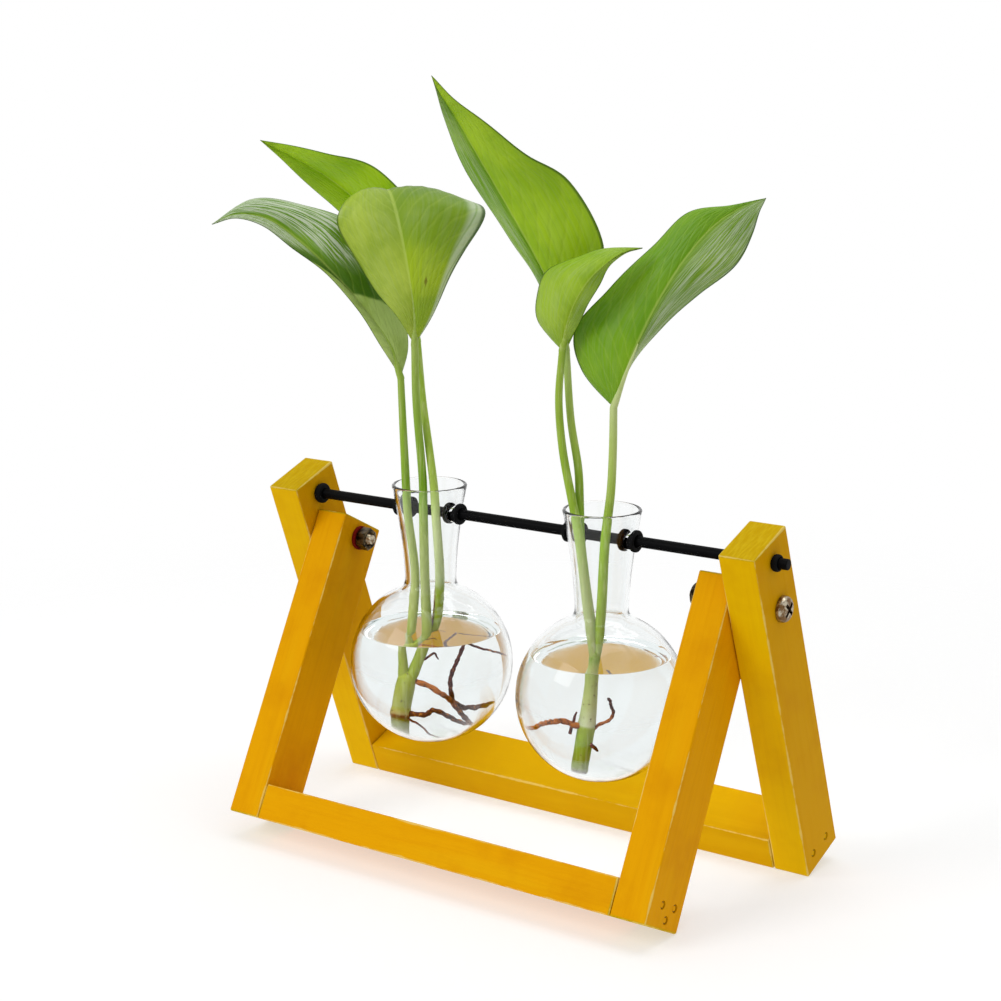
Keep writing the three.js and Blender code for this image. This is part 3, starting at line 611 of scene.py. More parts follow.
shank_line = [(bolt_radius, 0.0), (bolt_radius, -plain_shank)]
for i in range(int((bolt_length - (plain_shank + 1)) / (thread_pitch / 2))):
    root = thread_depth if i % 2 else 0.0
    shank_line.append((bolt_radius - root, -(plain_shank + 0.5) - i * thread_pitch / 2))
bolt_line = [
    (0, -bolt_length), (bolt_radius - bolt_tip, -bolt_length), *reversed(shank_line),
    *rounded([(bolt_head_radius, 0), (bolt_head_radius, 1.5), (5.4, 2.9), (3.7, 3.65),
              (0, bolt_head_height)], 0.7),
]
recess_size, recess_turn = (7.6, 1.7, 5.2), 0.45
recess = bpy.data.meshes.new("recess")
with drawing_on(recess) as drawing:
    for arm in (0, math.pi / 2):
        bmesh.ops.create_cube(drawing, size=1, matrix=(
            Matrix.Translation((0, 0, bolt_head_height / 1000))
            @ Matrix.Rotation(arm + recess_turn, 4, "Z")
            @ Matrix.Diagonal((*(size / 1000 for size in recess_size), 1))))
bolt = smoothed(combined(turned(bolt_line, bolt_plate), recess, use_self=True), 35)

washer = turned(rounded([
    (washer_bore, washer_thickness / 2), (washer_bore, 0), (washer_radius, 0),
    (washer_radius, washer_thickness), (washer_bore, washer_thickness),
    (washer_bore, washer_thickness / 2),
], 0.25), red_fibre.material)

nut_corner = nut_across / math.sqrt(3)
hexagon = bpy.data.meshes.new("hexagon")
with drawing_on(hexagon) as drawing:
    bmesh.ops.create_cone(
        drawing, cap_ends=True, segments=6, radius1=nut_corner / 1000, radius2=nut_corner / 1000,
        depth=nut_height / 1000, matrix=Matrix.Translation((0, 0, nut_height / 2000)))
nut_blank = turned([
    (nut_bore, nut_mouth), (nut_bore + nut_mouth, 0), (nut_face, 0),
    (nut_corner + 0.1, nut_chamfer),
    (nut_corner + 0.1, nut_height - nut_chamfer), (nut_face, nut_height),
    (nut_bore + nut_mouth, nut_height), (nut_bore, nut_height - nut_mouth),
    (nut_bore, nut_mouth),
], nut_plate)
nut = smoothed(combined(hexagon, nut_blank, "INTERSECT"), 25)


def on_rod_line(mesh, x, side, above=0.0):
    """A copy of a mesh turned about Z, laid along X at x mm, and facing outwards on that side."""
    laid = mesh.copy()
    laid.transform(
        leaned(outer.lean) @ Matrix.Translation((side * x / 1000, 0, above / 1000))
        @ Matrix.Rotation(side * math.pi / 2, 4, "Y"))
    return laid


for side, side_name in sides:
    for label, mesh, at, material, slot in (
        ("bolt", bolt, outer_outside + seam, bolt_plate, "plated_steel"),
        ("washer", washer, washer_at, red_fibre.material, "fibre"),
        ("nut", nut, nut_at, nut_plate, "plated_steel"),
    ):
        piece(f"{side_name}_{label}", on_rod_line(mesh, at, side), material, "outer_frame", slot,
              f"{side_name}_pivot_{label}")


# Rod and its rings
# A steel rod in black satin paint, through a hole near the top of each outer leg. A soft rubber
# ring grips it on each side of the leg and keeps it from sliding out.

black_paint = Finish("black_paint", Specular_IOR_Level=0.05)
orange_peel = black_paint.noise(black_paint.place, 1300, 2)
rubbed = black_paint.noise(black_paint.place, 210, 3, 0.6)
black_paint.feed("Base Color", black_paint.mix(
    rubbed.between(0.5, 0.8), colour(2, 2, 3), colour(11, 11, 13)))
black_paint.feed("Roughness", 0.38 + rubbed * 0.25)
black_paint.relief(orange_peel, 0.00004)

rubber = Finish("black_rubber", Specular_IOR_Level=0.08)
bloom = rubber.noise(rubber.place, 420, 3, 0.6)
rubber.feed("Base Color", rubber.mix(bloom, colour(5, 5, 6), colour(15, 15, 16)))
rubber.feed("Roughness", 0.6 + bloom * 0.25)
rubber.relief(bloom, 0.00005)

rod_radius, rod_end, rubber_bore = 2.5, 144.8, 2.8
rod = turned(rounded([
    (0, -rod_end), (rod_radius, -rod_end), (rod_radius, -rod_end + 3),
    (rod_radius, rod_end - 3), (rod_radius, rod_end), (0, rod_end),
], 0.5), black_paint.material)
piece("rod", on_rod_line(rod, 0, 1, rod_above_pivot), black_paint.material, "outer_frame", "rod",
      "hanging_rod")


def rod_ring(diameter, width):
    """A rubber ring with a full round outside, pinched a little where it meets the rod."""
    bulge = (diameter / 2 - rubber_bore) * 0.55
    arc = [
        (diameter / 2 - bulge + bulge * math.cos(a), width / 2 * math.sin(a))
        for a in (math.pi * (i / 16 - 0.5) for i in range(17))
    ]
    ends = [(rubber_bore, -width / 2), (rubber_bore, width / 2)]
    return turned([ends[0], *arc, ends[1], ends[0]], rubber.material, 60)


for side, side_name in sides:
    for label, diameter, width in (("inner", 10.2, 3.6), ("outer", 7.8, 2.8)):
        inwards, outwards = outer.inside - seam - width / 2, outer_outside + seam + width / 2
        middle = inwards if label == "inner" else outwards
        mesh = on_rod_line(rod_ring(diameter, width), middle, side, rod_above_pivot)
        piece(f"{side_name}_{label}_ring", mesh, rubber.material, "outer_frame", "rubber",
              f"{side_name}_{label}_rod_ring")


# Glass vases
# Each is blown in one piece of thin clear glass: a round bulb, a neck that opens to a flared
# mouth with a fire-polished lip, and two holes drilled through the neck for the rod.

glass_wall, bulb_radius, throat_radius, mouth_radius = 1.8, 40.0, 12.5, 18.25
neck_below_rod, mouth_above_rod, neck_flare, shoulder = 34.0, 12.0, 1.6, 4.0
side_hole, side_hole_reach = 8.4, 60
bulb_steps, shoulder_steps, neck_steps = 72, 10, 32
vase_x, rod_y, rod_z = 49.5, 1.4052, 160.1059
vases = {side_name: np.array((side * vase_x, rod_y, rod_z)) for side, side_name in sides}


def neck_radius(z):
    """Outer radius of the neck at a height from the rod's axis."""
    share = max(0.0, (z + neck_below_rod) / (neck_below_rod + mouth_above_rod))
    return throat_radius + (mouth_radius - throat_radius) * share ** neck_flare


def shoulder_start(offset):
    """Radius, reach, angle, rise and height where the bulb hands over to the shoulder."""
    reach = throat_radius + offset + shoulder
    radius = bulb_radius + offset
    angle = math.asin(reach / radius)
    return radius, reach, angle, shoulder * math.tan(angle), radius * math.cos(angle)


bulb_z = -neck_below_rod - shoulder - shoulder_start(0)[3] - shoulder_start(0)[4]


def glass_surface(offset):
    """One surface of the glass from the bottom up, set out from the outer one, as (radius, z)."""
    radius, reach, angle, rise, height = shoulder_start(offset)
    turns = (math.pi + (angle - math.pi) * i / bulb_steps for i in range(bulb_steps + 1))
    bulb = [(radius * math.sin(turn), bulb_z + radius * math.cos(turn)) for turn in turns]
    start, knee, end = (
        Vector((reach, bulb_z + height)), Vector((reach - shoulder, bulb_z + height + rise)),
        Vector((reach - shoulder, -neck_below_rod)))
    neck = [
        -neck_below_rod + (neck_below_rod + mouth_above_rod) * i / neck_steps
        for i in range(1, neck_steps + 1)]
    return [(0.0, bulb[0][1]), *bulb[1:], *curve(start, knee, end, shoulder_steps)[1:],
            *((neck_radius(z) + offset, z) for z in neck)]


def see_through(finish, tint, most_turns=6.5):
    """Lets lamp light straight through a clear material, with a faint tint, and lets out light
    that has turned about inside it more than six times."""
    lamp_ray = finish.add("ShaderNodeLightPath", output=1)
    turns = Value(finish, lamp_ray.socket.node.outputs["Ray Depth"])
    finish.let_through(lamp_ray.most(turns.math("GREATER_THAN", turns, most_turns)), tint)


glass_tint = (0.95, 0.965, 0.965, 1)
glass = Finish(
    "clear_glass", Base_Color=glass_tint, Roughness=0.0, IOR=1.42, Transmission_Weight=1.0,
    Specular_Tint=(0.6, 0.6, 0.6, 1))
ripple = glass.noise(glass.place, 46, 2, 0.4, stretch=(1, 1, 0.55))
glass.relief(ripple, 0.00035)
see_through(glass, glass_tint)

lip_middle = neck_radius(mouth_above_rod) - glass_wall / 2
lip = [
    (lip_middle + glass_wall / 2 * math.cos(a), mouth_above_rod + glass_wall / 2 * math.sin(a))
    for a in (math.pi * i / 10 for i in range(1, 10))
]
glass_line = [*glass_surface(0), *lip, *reversed(glass_surface(-glass_wall))]
blown = turned(glass_line, glass.material, 60, 128)
for spot in blown.vertices:
    spot.co *= 1000
blown = smoothed(combined(blown, drill_bits([(0, 0, 0, side_hole, side_hole_reach)])), 45)
for side_name, place in vases.items():
    mesh = blown.copy()
    mesh.transform(Matrix.Scale(0.001, 4) @ Matrix.Translation(place))
    piece(f"{side_name}_vase_glass", mesh, glass.material, f"{side_name}_vase", "glass",
          f"{side_name}_glass_vase")


# Grommets
# Black rubber, pressed into the side holes of the neck with a flange on each side of the glass.
# The rod runs through them, and the glass turns on them.

flange_inner, flange_radius, flange_thickness, collar_radius = 3.4, 5.1, 2, 3.9
for side_name, (x, _, _) in vases.items():
    for facing, hole in sides:
        node = f"{side_name}_vase_{hole}_grommet"
        near, far = sorted(facing * (corner.x * 1000 - x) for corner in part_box(node))
        outline = rounded([
            (flange_inner, near), (flange_radius, near), (flange_radius, near + flange_thickness),
            (collar_radius, near + flange_thickness), (collar_radius, far - flange_thickness),
            (flange_radius, far - flange_thickness), (flange_radius, far), (flange_inner, far),
        ], 0.6)
        bore = [(rubber_bore, near + 0.5), (rubber_bore, far - 0.5)]
        mesh = turned([bore[0], *outline, bore[1], bore[0]], rubber.material, 50)
        piece(f"{side_name}_{hole}_grommet", on_rod_line(mesh, facing * x, facing, rod_above_pivot),
              rubber.material, f"{side_name}_grommets", "rubber", node)


# Water
# Tap water, a little over half way up each bulb. It wets the glass, so its edge creeps up the
# wall in a thin bright rim.

water = Finish(
    "water", Base_Color=(0.95, 0.968, 0.968, 1), Roughness=0.0, IOR=1.333,
    Transmission_Weight=1.0, Specular_Tint=(0.25, 0.25, 0.25, 1))
see_through(water, (0.97, 0.985, 0.985, 1))

# In mm: how high and how far in the rim creeps, the gap to the glass, and heights from the rod
creep, creep_reach, film = 0.6, 0.6, 0.06
water_levels = (-60.1, -56.6)
room = bulb_radius - glass_wall - film
for (side_name, place), level in zip(vases.items(), water_levels):
    wetted = [
        (r - film, z) for r, z in glass_surface(-glass_wall) if r > 1 and z < level + creep - 0.3]
    edge = math.sqrt(room ** 2 - (level + creep - bulb_z) ** 2)
    surface = [(edge - d, level + creep * math.exp(-d / creep_reach))
               for d in (0, 0.15, 0.35, 0.6, 1, 1.6, 2.6, 4)]
    line = [(0.0, bulb_z - room), *wetted, *surface, (edge * 0.5, level), (0.0, level)]
    mesh = turned(line, water.material, 50, 128)
    mesh.transform(Matrix.Translation(place / 1000))
    piece(f"{side_name}_water", mesh, water.material, f"{side_name}_vase", "glass")


# Crowns
# The short thick stem at the foot of each cutting, under water. The left one has a browned ring
# where an old leaf fell off. The right one is pale, and greener below a joint.

def in_bulb(*spots):
    """Points in mm from the vase's place on the rod, given in shares of the bulb's inner radius
    from the bulb's middle."""
    room = bulb_radius - glass_wall
    return [(x * room, y * room, bulb_z + z * room) for x, y, z in spots]


def through(points, count):
    """Points along a smooth curve through the given ones, as a numpy array."""
    points = np.array(points, float)
    before = 2 * points[0] - points[1]
    after = 2 * points[-1] - points[-2]
    knots = np.vstack([before, points, after])
    line = []
    for i in range(count + 1):
        place = i / count * (len(points) - 1)
        span = min(int(place), len(points) - 2)
        t = place - span
        p0, p1, p2, p3 = knots[span:span + 4]
        d0, d1, d2 = (max(np.linalg.norm(b - a), 1e-6) ** 0.5
                      for a, b in ((p0, p1), (p1, p2), (p2, p3)))
        m1 = ((p1 - p0) / d0 - (p2 - p0) / (d0 + d1) + (p2 - p1) / d1) * d1
        m2 = ((p2 - p1) / d1 - (p3 - p1) / (d1 + d2) + (p3 - p2) / d2) * d1
        line.append(
            p1 + m1 * t + (3 * (p2 - p1) - 2 * m1 - m2) * t ** 2
            + (2 * (p1 - p2) + m1 + m2) * t ** 3)
    return np.array(line)


growing = tree_with("growing", [
    ("Path", "Geometry"), ("Sides", "Int"), ("Material", "Material"),
], "Grown")
thickness = growing.add(
    "GeometryNodeInputNamedAttribute", {"data_type": "FLOAT"}, {"Name": "thickness"})
path = growing.add("GeometryNodeMeshToCurve", {}, {0: given(growing, "Path")})
path = growing.add("GeometryNodeSetCurveRadius", {}, {"Curve": path, "Radius": thickness})
ring = growing.add("GeometryNodeCurvePrimitiveCircle", {}, {
    "Resolution": given(growing, "Sides"), "Radius": 1.0})
tube = growing.add("GeometryNodeCurveToMesh", {}, {
    "Curve": path, "Profile Curve": ring, "Scale": thickness, "Fill Caps": True})
last_steps(growing, growing.add("GeometryNodeSetShadeSmooth", {}, {"Geometry": tube}))


def graded(places, stops):
    """A size or a colour at each of the places on a path, from (place, value) stops."""
    known = [place for place, _ in stops]
    values = np.array([value for _, value in stops], float)
    if values.ndim == 1:
        return np.interp(places, known, values)
    return np.stack([np.interp(places, known, channel) for channel in values.T], axis=1)


def toned(places, stops):
    """Colours at each of the places on a path, from (place, red, green, blue) stops."""
    return graded(places, [(place, colour(*shade)) for place, *shade in stops])


def grown(paths, facets, material):
    """Round stems along paths, each a list of points and radii in mm and of colours, as one
    mesh. Its attribute "tone" holds the colours."""
    spots, edges, radii, tones = [], [], [], []
    for points, sizes, shades in paths:
        edges += [(len(spots) + i, len(spots) + i + 1) for i in range(len(points) - 1)]
        spots += [tuple(p / 1000) for p in points]
        radii += [size / 1000 for size in sizes]
        tones += [channel for shade in shades for channel in shade]
    line = bpy.data.meshes.new("path")
    line.from_pydata(spots, edges, [])
    line.attributes.new("thickness", "FLOAT", "POINT").data.foreach_set("value", radii)
    line.attributes.new("tone", "FLOAT_COLOR", "POINT").data.foreach_set("color", tones)
    mesh = made_by(growing, line, sides=facets, material=material)
    with drawing_on(mesh) as drawing:
        bmesh.ops.recalc_face_normals(drawing, faces=drawing.faces[:])
    return mesh


def plant_skin(name, streak, freckle):
    """Living skin in the colours of "tone", with pale streaks and dark freckles of a strength."""
    skin = Finish(name, Specular_IOR_Level=0.25)
    tone = skin.add("ShaderNodeAttribute", {"attribute_name": "tone"})
    streaks = skin.noise(skin.place, 900, 3, stretch=(1, 1, 0.05))
    blotches = skin.noise(skin.place, 150, 3, 0.55, stretch=(1, 1, 0.3))
    freckles = skin.noise(skin.place, 780, 2)
    shade = skin.mix(streaks.between(0.45, 0.75) * streak, tone, colour(206, 214, 150))
    shade = skin.mix(blotches.between(0.5, 0.72) * 0.35, shade, colour(122, 156, 26))
    shade = skin.mix(freckles.between(0.64, 0.7) * freckle, shade, colour(98, 86, 30))
    skin.feed("Base Color", shade)
    skin.feed("Roughness", 0.4 + streaks * 0.2)
    skin.relief(streaks, 0.00012)
    return skin.material


def plant_piece(side_name, label, mesh, material, slot):
    """A piece of a cutting, in place of the node of the same label."""
    piece(f"{side_name}_{label}", mesh, material, f"{side_name}_vase", slot,
          f"{side_name}_plant_{label}")


crown_skin = plant_skin("crown_skin", 0.35, 0.75)
crowns = {
    "left": in_bulb((-0.205, -0.243, -0.875), (-0.2, -0.24, -0.5), (-0.139, -0.196, -0.077)),
    "right": in_bulb((-0.119, -0.181, -0.712), (-0.045, -0.128, -0.05), (-0.02, -0.11, 0.6)),
}
# Radius and colour at shares of the crown's length
crown_radii = {
    "left": [(0, 2.7), (0.02, 3.2), (0.44, 3.5), (0.49, 3.95), (0.53, 3.95), (0.58, 3.6),
             (0.8, 3.75), (0.9, 3.5), (0.96, 2.7), (1, 1.4)],
    "right": [(0, 2.4), (0.02, 3.0), (0.3, 3.15), (0.34, 3.4), (0.38, 3.1), (0.5, 2.75),
              (0.65, 2.45), (0.9, 2.7), (0.98, 2.5), (1, 1.6)],
}
crown_tones = {
    "left": [(0, 60, 30, 8), (0.04, 106, 122, 8), (0.4, 118, 134, 8), (0.455, 92, 36, 4),
             (0.475, 112, 50, 8), (0.5, 178, 160, 100), (0.56, 164, 166, 66),
             (0.85, 156, 164, 36), (1, 166, 176, 8)],
    "right": [(0, 44, 26, 12), (0.03, 112, 134, 6), (0.2, 132, 158, 8), (0.33, 150, 170, 40),
              (0.35, 204, 208, 168), (0.5, 182, 188, 118), (0.68, 166, 180, 90),
              (0.85, 124, 160, 20), (1, 130, 164, 24)],
}
for side_name, place in vases.items():
    line = through(crowns[side_name], 120) + place
    shares = np.linspace(0, 1, len(line))
    radii, tones = graded(shares, crown_radii[side_name]), toned(shares, crown_tones[side_name])
    mesh = grown([(line, radii, tones)], 32, crown_skin)
    plant_piece(side_name, "crown", mesh, crown_skin, "crown")


# Stalks
# Three smooth pale green leaf stalks on each cutting. They part from the crown, rise through the
# neck beside the rod, and run on as the midrib under the leaf. One leaves a browned sheath.

# In mm: a stalk's width, its start below the crown's top, and its next point above that top
stalk_diameter, stalk_start, stalk_rise = 4.2, 7, 1.5


def in_neck(z, degrees, share):
    """A point at height z, at a share of the room that a stalk has there, towards an angle in
    plan."""
    room = neck_radius(z) - glass_wall - stalk_diameter / 2 - seam
    angle = math.radians(degrees)
    return (room * share * math.cos(angle), room * share * math.sin(angle), z)


def out_of(crown, x, y, spread):
    """The start of a stalk: inside the crown, then at its top, set aside by a share of x and y."""
    stem = through(crown, 40)
    axis = stem[-1] - stem[-2]
    axis /= np.linalg.norm(axis)
    aside = np.array((x, y, 0.0))
    aside -= axis * aside.dot(axis)
    return [stem[-1] - axis * stalk_start + aside * spread * 0.3,
            stem[-1] + aside * spread + axis * stalk_rise]


stalks = {
    "left": [
        [*out_of(crowns["left"], -1.9, -1.35, 1),
         *in_bulb((-0.19, -0.235, 0.19), (-0.155, -0.22, 0.42)), in_neck(-34, 202, 0.97),
         in_neck(0, 218.5, 0.92), (-9, -7, 14.6), (-9.9, -7.5, 44), (-10.3, -8, 64.4)],
        [*out_of(crowns["left"], 1.9, 1.35, 1),
         *in_bulb((-0.008, -0.118, 0.19), (0, -0.097, 0.42)), in_neck(-34, 233, 0.35),
         in_neck(0, 283, 0.62), (1.2, -6.8, 15.7), (-0.4, -9, 54.8), (1.5, -12, 81.6)],
        [(0.6, -3.0, -65), *in_bulb((0.068, 0.016, 0.504)), in_neck(-34, 340, 0.96),
         in_neck(0, 325, 0.78), (6.6, -5, 12), (2.2, -3, 32), (-2.6, -1, 53.5), (-6.4, 1.4, 74),
         (-7.5, 2, 81)],
    ],
    "right": [
        [*out_of(crowns["right"], -1.4, -2.7, 0.5), in_neck(-34, 232, 0.8), in_neck(0, 240, 0.95),
         (-9.8, -8.95, 14), (-15, -10, 40), (-16.5, -11, 63), (-14, -12, 85.5)],
        [*out_of(crowns["right"], -2.4, 2.3, 0.5), in_neck(-34, 178, 0.9), in_neck(0, 215, 0.84),
         (-9.4, -4.4, 14), (-10.8, -3.4, 30), (-14.6, -4, 53), (-16.5, -5, 84.5)],
        [*out_of(crowns["right"], 2.8, 0.6, 0.5), in_neck(-34, 300, 0.4), in_neck(0, 313, 0.65),
         (8.4, -6, 23), (9.3, -6, 42), (9.5, -6, 61)],
    ],
}

# Radius and colour at heights above and below the rod, in mm
stalk_radii = {
    "left": [
        [(-86, 1.6), (-80, 2.1), (-76, 1.8), (-70, 1.5), (-62, 2.2), (-50, 2.4), (-34, 2.3),
         (0, 2.15), (20, 2.0), (64, 1.65)],
        [(-86, 1.6), (-80, 2.3), (-76, 2.1), (-70, 2.2), (-60, 2.5), (-34, 2.35), (0, 2.1),
         (16, 2.0), (55, 1.85), (82, 1.7)],
        [(-65, 0.7), (-60, 1.9), (-52, 2.3), (-34, 2.2), (0, 2.1), (32, 1.9), (81, 1.5)],
    ],
    "right": [[(-62, 1.2), (-54, 1.9), (-44, 2.3), (-34, 2.3), (0, 2.15), (30, 1.9),
               (85, 1.6)]] * 3,
}
# Painted highlight: the paler colours, mostly in the neck from -34 mm up, over each stalk's green
stalk_tones = {
    "left": [
        [(-80, 160, 170, 56), (-60, 164, 174, 76), (-34, 170, 184, 96), (0, 166, 186, 92),
         (14, 132, 174, 26), (64, 150, 180, 66)],
        [(-78, 150, 166, 24), (-62, 156, 170, 62), (-40, 172, 184, 114), (-10, 162, 180, 92),
         (14, 118, 162, 18), (82, 154, 180, 78)],
        [(-64, 126, 128, 16), (-56, 134, 150, 22), (-38, 146, 170, 28), (-34, 200, 210, 158),
         (-5, 202, 214, 150), (12, 172, 198, 80), (81, 150, 184, 54)],
    ],
    "right": [
        [(-60, 156, 172, 80), (-40, 178, 190, 130), (-20, 178, 192, 120), (10, 148, 182, 50),
         (85, 150, 180, 58)],
        [(-60, 160, 176, 90), (-36, 178, 190, 122), (-20, 160, 180, 88), (5, 130, 170, 24),
         (50, 164, 190, 78), (84, 172, 196, 108)],
        [(-60, 140, 162, 52), (-36, 148, 174, 54), (5, 146, 182, 38), (40, 176, 198, 100),
         (61, 196, 212, 140)],
    ],
}
sheathed, sheath_aside, sheath_low, sheath_high = ("left", 3), (-1.15, -1.9, 0), -59, -36
sheath_radii = [(sheath_low, 0.3), (-54, 0.65), (-42, 0.5), (sheath_high, 0.15)]
sheath_tones = [(-58, 70, 40, 14), (-46, 122, 74, 30), (-36, 160, 150, 70)]

stalk_skin = plant_skin("stalk_skin", 0.45, 0.0)
for side_name, place in vases.items():
    for number, (points, radii, tones) in enumerate(zip(
            stalks[side_name], stalk_radii[side_name], stalk_tones[side_name]), 1):
        line = through(points, 120)
        paths = [(line + place, graded(line[:, 2], radii), toned(line[:, 2], tones))]
        if (side_name, number) == sheathed:
            within = (line[:, 2] > sheath_low) & (line[:, 2] < sheath_high)
            edge = line[within] + np.array(sheath_aside)
            paths.append((edge + place, graded(edge[:, 2], sheath_radii),
                          toned(edge[:, 2], sheath_tones)))
        plant_piece(side_name, f"stalk_{number}", grown(paths, 24, stalk_skin), stalk_skin, "stalk")


# Leaves
# Heart-shaped pothos blades, three on each cutting, that arch over and fold along a midrib, which
# is the end of the stalk running on. Fine side veins bend from it to the edge.

# Rows along a leaf, columns across it, and the rows that its midrib runs and sinks over
leaf_rows, leaf_columns, midrib_rows, sinking_rows = 72, 32, 20, 6
# In mm: half a leaf's thickness at the edge, and what it gains at the midrib
leaf_skin, leaf_flesh = 0.16, 0.12

# Points of the midrib, the left edge and the right edge, in mm from the vase's place on the rod
leaf_stations = {
    "left": [
        [[(-11, -14, 80), (-14.5, -17, 80), (-8.5, -4, 80.5)],
         [(-21.5, -18, 96), (-24, -23, 98), (-20, 4, 102)],
         [(-38, -22, 113), (-38, -27, 113.5), (-33, 5, 123.5)],
         [(-50.5, -32, 129), (-49.5, -37, 125.5), (-45.5, 0, 136)],
         [(-61, -44, 140.5), (-60, -47, 137), (-54, -22, 145.5)],
         [(-71, -54, 142.5), (-69.5, -56, 141), (-68, -46, 149)],
         [(-80.5, -60, 138)]],
        [[(7, -19, 96), (-2.5, -20, 95.5), (13.5, -14, 96)],
         [(10.5, -26, 112.5), (-15, -23, 110.5), (23.5, -15, 112.5)],
         [(8.5, -28, 130), (-28, -23, 126), (33, -14, 128.5)],
         [(1, -24, 145.5), (-38.5, -19, 139.5), (42, -10, 144.5)],
         [(-11.5, -14, 153.5), (-41, -9, 147.5), (25.5, -2, 149.5)],
         [(-22, -6, 150), (-38.5, -2, 145.5), (-4.5, 3, 145)],
         [(-29.5, 1, 141)]],
        [[(-20.5, 12, 101), (-28, 9, 97), (-11, 14, 103.5)],
         [(-38, 19, 124), (-45, 15, 120), (-18.5, 21, 130.5)],
         [(-52, 19, 140.5), (-60.5, 14, 137), (-27, 22, 146)],
         [(-62, 9, 154), (-69.5, 4, 149), (-40, 13, 161.5)],
         [(-72.5, -7, 166), (-76.5, -11, 164), (-57, -4, 169.5)],
         [(-83, -22, 175.5)]],
    ],
    "right": [
        [[(-7, -19, 98.5), (-23.5, -15, 96), (-5, -14, 96.5)],
         [(2, -25, 110.5), (-23.5, -19, 108.5), (3, -17, 108)],
         [(10, -26, 120.5), (-17, -21, 121), (11, -19, 118.5)],
         [(16.5, -22, 127.5), (0.5, -20, 129.5), (14.5, -17, 126)],
         [(20.5, -15, 131.5), (14, -14, 133), (20, -13, 131)],
         [(25, -8, 133)]],
        [[(-22, -4, 105), (-33, -6, 117), (-9.5, 3, 107)],
         [(-30, -9, 125.5), (-42, -13, 134.5), (-1, 2, 131)],
         [(-37, -20, 147.5), (-50.5, -25, 155.5), (-11.5, -10, 160)],
         [(-42.5, -34, 170), (-51.5, -40, 174.5), (-22, -28, 173)],
         [(-44, -50, 189), (-47.5, -54, 189.5), (-32, -47, 187.5)],
         [(-45.5, -60, 200.5), (-46, -61, 200.5), (-40, -59, 198.5)],
         [(-46, -64, 206.5)]],
        [[(17, -9, 77), (-7.5, -6, 76), (17, -2, 81.5)],
         [(25, -9, 94), (-13, -3, 94), (31.5, 0, 98.5)],
         [(33, -5, 112.5), (4.5, -2, 114), (45.5, 6, 113)],
         [(41, 1, 128.5), (23.5, 2, 132.5), (61, 11, 126)],
         [(51, 9, 143), (37.5, 8, 147.5), (65, 17, 139)],
         [(60, 17, 150.5), (54.5, 16, 151), (67, 20, 149)],
         [(67.5, 24, 154)]],
    ],
}


def vein_place(along, side):
    """Where a point lies on the leaf's side veins, which leave the midrib and bend to the tip."""
    return 15.0 * (along - 0.34 * side ** 0.85)


def blade_lines(base, stations):
    """A leaf's left edge, midrib and right edge, and the way up at each point of the midrib."""
    left, rib, right = (
        through([base, *(s[part] if part < len(s) else s[0] for s in stations)], leaf_rows)
        for part in (1, 0, 2))
    ups = np.cross(right - left, np.gradient(rib, axis=0))
    ups[0], ups[-1] = ups[1], ups[-2]
    return left, rib, right, ups / np.linalg.norm(ups, axis=1, keepdims=True)


def leaf_blade(base, stations, place):
    """A thin closed blade through stations of midrib, left edge and right edge, with a UV map
    across and along it, and an attribute "upper" that is 1 on its upper face."""
    rows, columns = leaf_rows, leaf_columns
    left, rib, right, ups = blade_lines(base, stations)
    spots, shares = [], []
    steps = [math.copysign(abs(c) ** 1.35, c) for c in np.linspace(-1, 1, columns + 1)]
    for i in range(rows + 1):
        up = ups[i]
        for c in steps:
            edge = left[i] if c < 0 else right[i]
            half = abs(c)
            reach = np.linalg.norm(edge - rib[i])
            arch = 0.4 * half * (1 - half) * reach
            wave = math.sin(i * 0.33 + (2.0 if c < 0 else 0.4))
            ruffle = 0.7 * wave * half ** 3 * min(1, reach / 18)
            quilt = 0.16 * math.sin(2 * math.pi * vein_place(i / rows, half)) * min(1, reach / 12)
            quilt *= math.sin(math.pi * min(1, half * 1.05)) ** 0.5 if half < 0.95 else 0
            groove = 0.35 * math.exp(-(half * reach / 0.9) ** 2) * (1 - i / rows)
            ridge = 1.25 * math.exp(-(half * reach / 1.1) ** 2) * (1 - i / rows) ** 0.8
            skin = leaf_skin + leaf_flesh * (1 - half)
            middle = rib[i] + (edge - rib[i]) * half + up * (arch + ruffle + quilt)
            spots.append((middle + up * (skin - groove), middle - up * (skin + ridge)))
            shares.append(((c + 1) / 2, i / rows))
    count = columns + 1
    vertices = [tuple((p + place) / 1000) for pair in spots for p in pair]
    faces, uvs = [], []

    def add_face(*corners):
        faces.append([2 * number + under for number, under in corners])
        uvs.extend(shares[number] for number, under in corners)

    for i in range(rows):
        for j in range(columns):
            a, d = i * count + j, (i + 1) * count + j
            b, c = a + 1, d + 1
            add_face((a, 0), (b, 0), (c, 0), (d, 0))
            add_face((d, 1), (c, 1), (b, 1), (a, 1))
        a, d = i * count, (i + 1) * count
        add_face((d, 0), (d, 1), (a, 1), (a, 0))
        add_face((a + columns, 0), (a + columns, 1), (d + columns, 1), (d + columns, 0))
    mesh = bpy.data.meshes.new("leaf")
    mesh.from_pydata(vertices, [], faces)
    layer = mesh.uv_layers.new(name="leaf_map")
    layer.data.foreach_set("uv", [number for uv in uvs for number in uv])
    upper = mesh.attributes.new("upper", "FLOAT", "POINT")
    upper.data.foreach_set("value", [1.0, 0.0] * len(spots))
    with drawing_on(mesh) as drawing:
        bmesh.ops.remove_doubles(drawing, verts=drawing.verts[:], dist=2e-6)
        bmesh.ops.dissolve_degenerate(drawing, dist=1e-6, edges=drawing.edges[:])
        bmesh.ops.recalc_face_normals(drawing, faces=drawing.faces[:])
    return smoothed(mesh)


